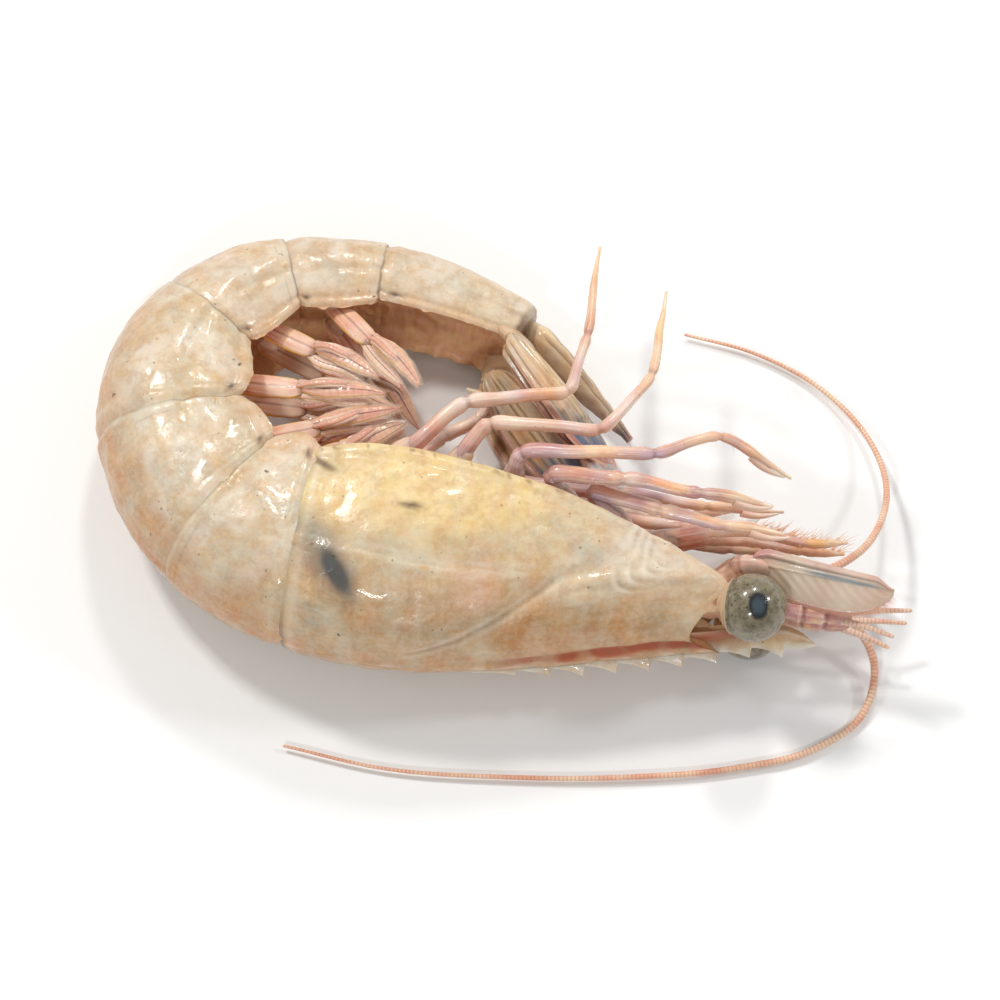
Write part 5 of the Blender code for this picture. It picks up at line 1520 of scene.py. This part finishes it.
def limbMesh(joints, radius, tip, fingers, seed, tones):
    path, where = limbLine(joints)
    lengths = len(joints) - 1
    whole = np.clip(np.floor(where), 0, lengths - 1)
    share = where - whole
    ends = radius + (tip - radius) * (np.arange(lengths + 1) / lengths) ** 0.9
    thick = np.interp(where, np.arange(lengths + 1), ends)
    joint = jointDip(where, np.arange(1, lengths), 0.035)
    swell = 0.10 * bump(share - 0.14, 0.10) + 0.12 * bump(share - 0.90, 0.06) * (whole < lengths - 1)
    profile = 1.0 + swell - 0.26 * joint - 0.18 * bump(where, 0.1)
    profile = profile * (1 - 0.55 * step(where, lengths - 0.5, lengths))
    if fingers:
        profile = profile * (1 + 0.28 * bump(where - (lengths - 0.62), 0.16))
    thick = thick * profile
    path = path + 0.10 * np.stack([ripple(path, 7.0, seed + k) for k in range(3)], -1)
    # how much lilac goes on the upper side: own lavender and painted sheen
    lilac = tones["mauve"] * (0.65 + 0.4 * ripple(path, 5.0, seed + 7))
    white = tones["white"] * (0.5 + 0.5 * ripple(path, 4.0, seed + 5))
    yellow = tones["yellow"] * np.clip(ripple(path, 3.0, seed + 6), 0, 1)
    values = {
        "mauveTone": tones["mauve"] * (0.6 + 0.4 * ripple(path, 6.0, seed + 4)),
        "redTone": np.clip(tones["red"] * bump(where, 0.9) + 0.25 * joint, 0, 1),
        "lilacTone": lilac * (1 - step(where, lengths - 1.6, lengths - 0.6)),
        "whiteTone": np.clip(white + 0.5 * step(where, lengths - 0.8, lengths), 0, 0.9),
        "yellowTone": np.clip(yellow + 0.16 * step(where, lengths - 1.6, lengths - 0.4), 0, 1),
        "jointLine": 0.45 * bump(joint - 1.0, 0.25),
    }
    parts = [sweep(path, thick, thick * 0.82, (0.0, 0.0, 1.0), legs["sides"], values)]
    if fingers:
        a, b = np.asarray(joints[-2], float), np.asarray(joints[-1], float)
        along = unit(b - a)
        aside = unit(np.cross(along, (0.0, 0.0, 1.0)))
        root = a + (b - a) * 0.45
        t = np.linspace(0.0, 1.0, 30)
        arch = np.sin(math.pi * (0.25 + 0.6 * t)) * 0.85 - 0.15
        finger = root + along * (fingers * t)[:, None] + aside * arch[:, None]
        thin = tip * np.interp(t, (0, 0.4, 1.0), (1.15, 0.95, 0.35))
        parts.append(sweep(finger, thin, thin * 0.85, (0.0, 0.0, 1.0), 12,
                           {"mauveTone": tones["mauve"] * 0.5, "whiteTone": 0.25 + 0.6 * t}))
    # a few stiff bristles along the outer lengths
    hairRng = np.random.default_rng(seed)
    pick = hairRng.integers(int(len(path) * 0.3), len(path) - 2, legs["bristles"])
    around = hairRng.uniform(0, 2 * math.pi, len(pick))
    along, across, upward = turningFrames(path, (0.0, 0.0, 1.0))
    outward = across[pick] * np.cos(around)[:, None] + upward[pick] * np.sin(around)[:, None]
    roots = path[pick] + outward * (thick[pick] * 0.8)[:, None]
    parts.append(bristles(roots, outward + along[pick] * 0.9, hairRng.uniform(0.35, 0.8, len(pick)), 0.035,
                          values={"whiteTone": 0.6}))
    return parts


def walkingLegs():
    shift = bodyLine["shift"]
    for side in ("left", "right"):
        for k, (hip, *joints) in enumerate(legs[side]):
            places = [bodyPoint(*hip), *(np.array(j) + shift for j in joints)]
            fingers = legs["finger"] if k < legs["clawed"] else 0.0
            tones = {name: legs[name][k] for name in ("mauve", "red", "white")}
            tones["yellow"] = legs["yellow"]
            seed = 100 + k * 10 + (5 if side == "right" else 0)
            parts = limbMesh(places, legs["radius"], legs["tip"], fingers, seed, tones)
            depth = float(bodyAt(hip[0])[2]) - legs["sunk"]
            inside = bodyPoint(hip[0], depth, hip[2] * legs["inward"])
            outside = places[0] + unit(places[1] - places[0]) * legs["rootPast"]
            rootTones = {"mauveTone": tones["mauve"] * 0.5, "redTone": 0.12}
            parts.append(limbRoot(inside, places[:1], outside, legs["radius"], rootTones))
            addPiece(f"leg{k + 1}{side.capitalize()}", parts, finishes["limb"], "limb", f"leg_{k + 1}_{side}")


mouthLegs = {
    "joints": ((4.0, 5.8, 1.6), (-1.0, 7.7, 2.2), (-6.0, 8.2, 2.4), (-11.0, 7.6, 2.2), (-15.0, 8.2, 1.8)),
    "radius": 1.0, "tip": 0.5, "bristles": 190, "root": (8.8, 3.2, 1.5), "rootPast": 1.6,
}


def maxillipeds():
    for side, sign in (("left", 1.0), ("right", -1.0)):
        joints = [bodyPoint(s, v, l * sign) for s, v, l in mouthLegs["joints"]]
        tones = {"mauve": 0.45, "red": 0.9, "white": 0.3, "yellow": 0.35}
        parts = limbMesh(joints, mouthLegs["radius"], mouthLegs["tip"], 0.0, 300 + int(sign), tones)
        inside = bodyPoint(*mouthLegs["root"][:2], mouthLegs["root"][2] * sign)
        outside = joints[0] + unit(joints[1] - joints[0]) * mouthLegs["rootPast"]
        parts.append(limbRoot(inside, joints[:1], outside, mouthLegs["radius"], {"mauveTone": 0.4}))
        path, _ = limbLine(joints)
        combs = np.random.default_rng(31)
        pick = combs.integers(4, len(path) - 2, mouthLegs["bristles"])
        _, tail, back, left = frameAt(0.0)
        ways = -back * combs.uniform(0.2, 1.0, len(pick))[:, None]
        ways = ways + left * combs.normal(0, 0.5, len(pick))[:, None]
        ways = ways - tail * combs.uniform(0.3, 1.3, len(pick))[:, None]
        parts.append(bristles(path[pick], ways, combs.uniform(1.2, 2.6, len(pick)), 0.06,
                              values={"redTone": 0.75, "yellowTone": 0.2}))
        addPiece(f"mouthLeg{side.capitalize()}", parts, finishes["limb"], "limb", f"maxilliped_{side}")


walkingLegs()
maxillipeds()
print("legs made")

swimmers = {
    # the tips of the five of each side
    "left": ((-6.4, 8.0, 10.6), (-7.0, 9.2, 11.8), (-8.6, 10.4, 12.8), (-9.4, 12.2, 13.2),
             (-5.2, 10.0, 16.2)),
    "right": ((-6.6, 8.2, 8.4), (-7.2, 9.4, 7.2), (-8.4, 10.8, 6.0), (-8.0, 12.4, 4.6), (-5.4, 10.6, 3.0)),
    "stalkWidth": 2.6, "bladeWidth": 3.2, "thickness": 0.8, "leftBy": 2.4, "sunk": 0.2, "knee": 0.46,
    "ribs": 74, "bristles": 50,
    "rootDepth": 2.6, "rootRadius": 0.95, "rootPast": 1.1, "rootFlat": 0.75,
}


def swimmeretLeaf(root, tip, wide, halfWidth, thickness, seed, tones, bow=0.5):
    # a soft strap that tapers to a point, with fine rings across it and a fringe of hairs
    t = np.linspace(0.0, 1.0, 90)
    way = tip - root
    along = unit(way)
    across = unit(wide - along * (wide @ along))
    face = np.cross(along, across)
    wander = np.random.default_rng(seed).uniform(-1.0, 1.0, 3)

    def spine(t):
        arch = np.sin(math.pi * t)[:, None]
        sway = np.sin(2 * math.pi * t)[:, None]
        aside = 0.45 * wander[0] * arch + 0.3 * wander[1] * sway
        return root + way * t[:, None] + face * bow * arch + across * aside

    path = spine(t)
    width = halfWidth * np.sin(math.pi * np.clip(0.14 + 0.56 * t, 0, 1)) ** 0.6 * (1 - t**2.2) ** 0.6
    width = np.maximum(width * (1 + 0.05 * ripple(path, 1.6, seed + 9)), 0.07)
    ribs = np.sin(t * swimmers["ribs"])
    thick = np.maximum(thickness * (1 - 0.6 * t) * (1 + 0.06 * ribs), 0.05)
    rings = 0.10 * (ribs < -0.6)
    leaf = sweep(path, width, thick, across, 24, {**tones, "jointLine": rings * step(t, 0.15, 0.4)})
    hairShare = np.linspace(0.12, 0.99, swimmers["bristles"])
    roots, ways = [], []
    for side in (1.0, -1.0):
        here = spine(hairShare)
        reach = np.interp(hairShare, t, width)
        roots.append(here + across * (reach * side * 0.95)[:, None])
        ways.append(np.tile(along * 1.0 + across * side * 0.5, (len(hairShare), 1)))
    hairs = bristles(np.concatenate(roots), np.concatenate(ways), 0.65, 0.045,
                     values={"whiteTone": 0.4, "redTone": 0.35})
    return [leaf, hairs]


def swimmerets():
    shift = bodyLine["shift"]
    up = np.array((0.0, 0.0, 1.0))
    for side, sign in (("left", 1.0), ("right", -1.0)):
        for number, tip in enumerate(swimmers[side], start=1):
            station = (ringStarts[number - 1] + ringStarts[number]) / 2
            belly, beside = float(bodyAt(station)[2]), swimmers["leftBy"] * sign
            root = bodyPoint(station, belly - swimmers["sunk"], beside)
            tip = np.array(tip) + shift
            flat = unit(np.cross(up, tip - root))
            knee = root + (tip - root) * swimmers["knee"]
            seed = 400 + number * 7 + (3 if sign < 0 else 0)
            t = np.linspace(0.0, 1.0, 50)
            path = root + (knee - root) * t[:, None]
            half = swimmers["stalkWidth"] / 2
            width = half * (0.84 + 0.14 * np.sin(math.pi * t)) * (1 - 0.22 * step(t, 0.85, 1.0))
            thick = swimmers["thickness"] / 2 * (1.3 - 0.3 * t)
            patch = ripple(path, 3.0, seed)
            tones = {
                "redTone": np.clip(0.5 - 0.3 * t + 0.25 * patch, 0, 1),
                "whiteTone": 0.4 * bump(t - 0.75, 0.25), "mauveTone": 0.35 * t,
                "edgeTone": np.clip(0.5 + 0.5 * patch, 0.1, 0.9), "veinTone": 0.35,
                "jointLine": 0.55 * step(t, 0.94, 1.0),
            }
            parts = [sweep(path, width, thick, flat, 24, tones)]
            inside = bodyPoint(station, belly - swimmers["rootDepth"], beside)
            outside = root + unit(knee - root) * swimmers["rootPast"]
            rootTones = {"redTone": 0.3, "mauveTone": 0.1}
            parts.append(limbRoot(
                inside, [root], outside, swimmers["rootRadius"], rootTones, swimmers["rootFlat"]))
            leafTones = {"redTone": 0.34 + 0.3 * patch[-1], "whiteTone": 0.16, "mauveTone": 0.35,
                         "edgeTone": 0.7, "veinTone": 0.6}
            outerHalf = swimmers["bladeWidth"] / 2
            heel = knee - unit(tip - root) * 0.5
            fork = unit(tip - knee)
            # the outer leaf, the inner one and a strand between them
            parts += swimmeretLeaf(
                heel + flat * 0.5, tip + flat * 0.3, flat, outerHalf * 0.66, 0.32, seed, leafTones)
            innerTip = knee + (tip - knee) * 0.8 - flat * 0.9 - up * 0.4
            parts += swimmeretLeaf(
                heel - flat * 0.55 - up * 0.25, innerTip, flat, outerHalf * 0.42, 0.28, seed + 1,
                {**leafTones, "whiteTone": 0.5, "mauveTone": 0.15}, 0.2)
            strandTip = knee + (tip - knee) * 0.62 + flat * 0.9 + up * 0.35
            parts += swimmeretLeaf(
                heel + flat * 0.1 + up * 0.3, strandTip - fork * 0.2, flat, outerHalf * 0.24, 0.24,
                seed + 2, {**leafTones, "redTone": 0.75, "veinTone": 0.0}, 0.7)
            for i, (somePoints, someFaces, someValues) in enumerate(parts):
                parts[i] = (onFloor(somePoints, 0.05), someFaces, someValues)
            addPiece(f"swimmeret{number}{side.capitalize()}", parts, finishes["limb"], "limb",
                     f"swimmeret_{number}_{side}")


swimmerets()
print("swimmerets made")

studio = {
    "floor": (0.90, 0.90, 0.895), "floorHalf": 1.6, "floorRough": 0.75,
    "world": (0.97, 0.98, 0.98), "worldStrength": 0.46,
    # name, place and size in metres, watts, tint
    "lights": (
        ("keyLight", (-0.26, 0.30, 0.52), (0.085, 0.07), 1.75, (1.0, 0.985, 0.955)),
        ("backLight", (0.06, 0.42, 0.46), (0.06, 0.06), 0.95, (1.0, 0.99, 0.97)),
        ("sideLight", (0.42, 0.10, 0.36), (0.06, 0.06), 0.55, (0.95, 0.98, 1.0)),
        ("frontLight", (-0.12, -0.42, 0.45), (0.05, 0.05), 0.75, (1.0, 1.0, 1.0)),
    ),
}


def stageFloor():
    mesh = bpy.data.meshes.new("studioFloor")
    half = studio["floorHalf"]
    corners = [(-half, -half, 0), (half, -half, 0), (half, half, 0), (-half, half, 0)]
    mesh.from_pydata(corners, [], [(0, 1, 2, 3)])
    floor = bpy.data.objects.new("studioFloor", mesh)
    finish = bpy.data.materials.new("paleFloor")
    finish.use_nodes = True
    shader = finish.node_tree.nodes["Principled BSDF"]
    shader.inputs["Base Color"].default_value = (*studio["floor"], 1.0)
    shader.inputs["Roughness"].default_value = studio["floorRough"]
    mesh.materials.append(finish)
    floor.location.z = -0.00002  # a hair below the part
    bpy.context.scene.collection.objects.link(floor)


def softLight(name, place, size, watts, tint):
    lamp = bpy.data.lights.new(name, "AREA")
    lamp.shape = "RECTANGLE"
    lamp.size, lamp.size_y = size
    lamp.energy = watts
    lamp.color = tint
    holder = bpy.data.objects.new(name, lamp)
    holder.location = place
    holder.rotation_mode = "QUATERNION"
    holder.rotation_quaternion = (-Vector(place)).to_track_quat("-Z", "Y")
    bpy.context.scene.collection.objects.link(holder)


def stageWorld():
    world = bpy.data.worlds.new("softRoom")
    world.use_nodes = True
    background = world.node_tree.nodes["Background"]
    background.inputs["Color"].default_value = (*studio["world"], 1.0)
    background.inputs["Strength"].default_value = studio["worldStrength"]
    bpy.context.scene.world = world


viewpoint = {
    "azimuth": 0.0, "elevation": 68.0, "lens": 135.0, "distance": 0.395, "aim": (0.0, -0.0005, 0.006),
}


def stageCamera():
    a, e = math.radians(viewpoint["azimuth"]), math.radians(viewpoint["elevation"])
    away = Vector((math.sin(a) * math.cos(e), -math.cos(a) * math.cos(e), math.sin(e)))
    data = bpy.data.cameras.new("camera")
    data.lens = viewpoint["lens"]
    camera = bpy.data.objects.new("camera", data)
    camera.location = Vector(viewpoint["aim"]) + away * viewpoint["distance"]
    camera.rotation_mode = "QUATERNION"
    camera.rotation_quaternion = (-away).to_track_quat("-Z", "Y")
    bpy.context.scene.collection.objects.link(camera)
    bpy.context.scene.camera = camera


stageFloor()
stageWorld()
for light in studio["lights"]:
    softLight(*light)
stageCamera()
bpy.context.scene.view_settings.view_transform = "Standard"
print("stage set")
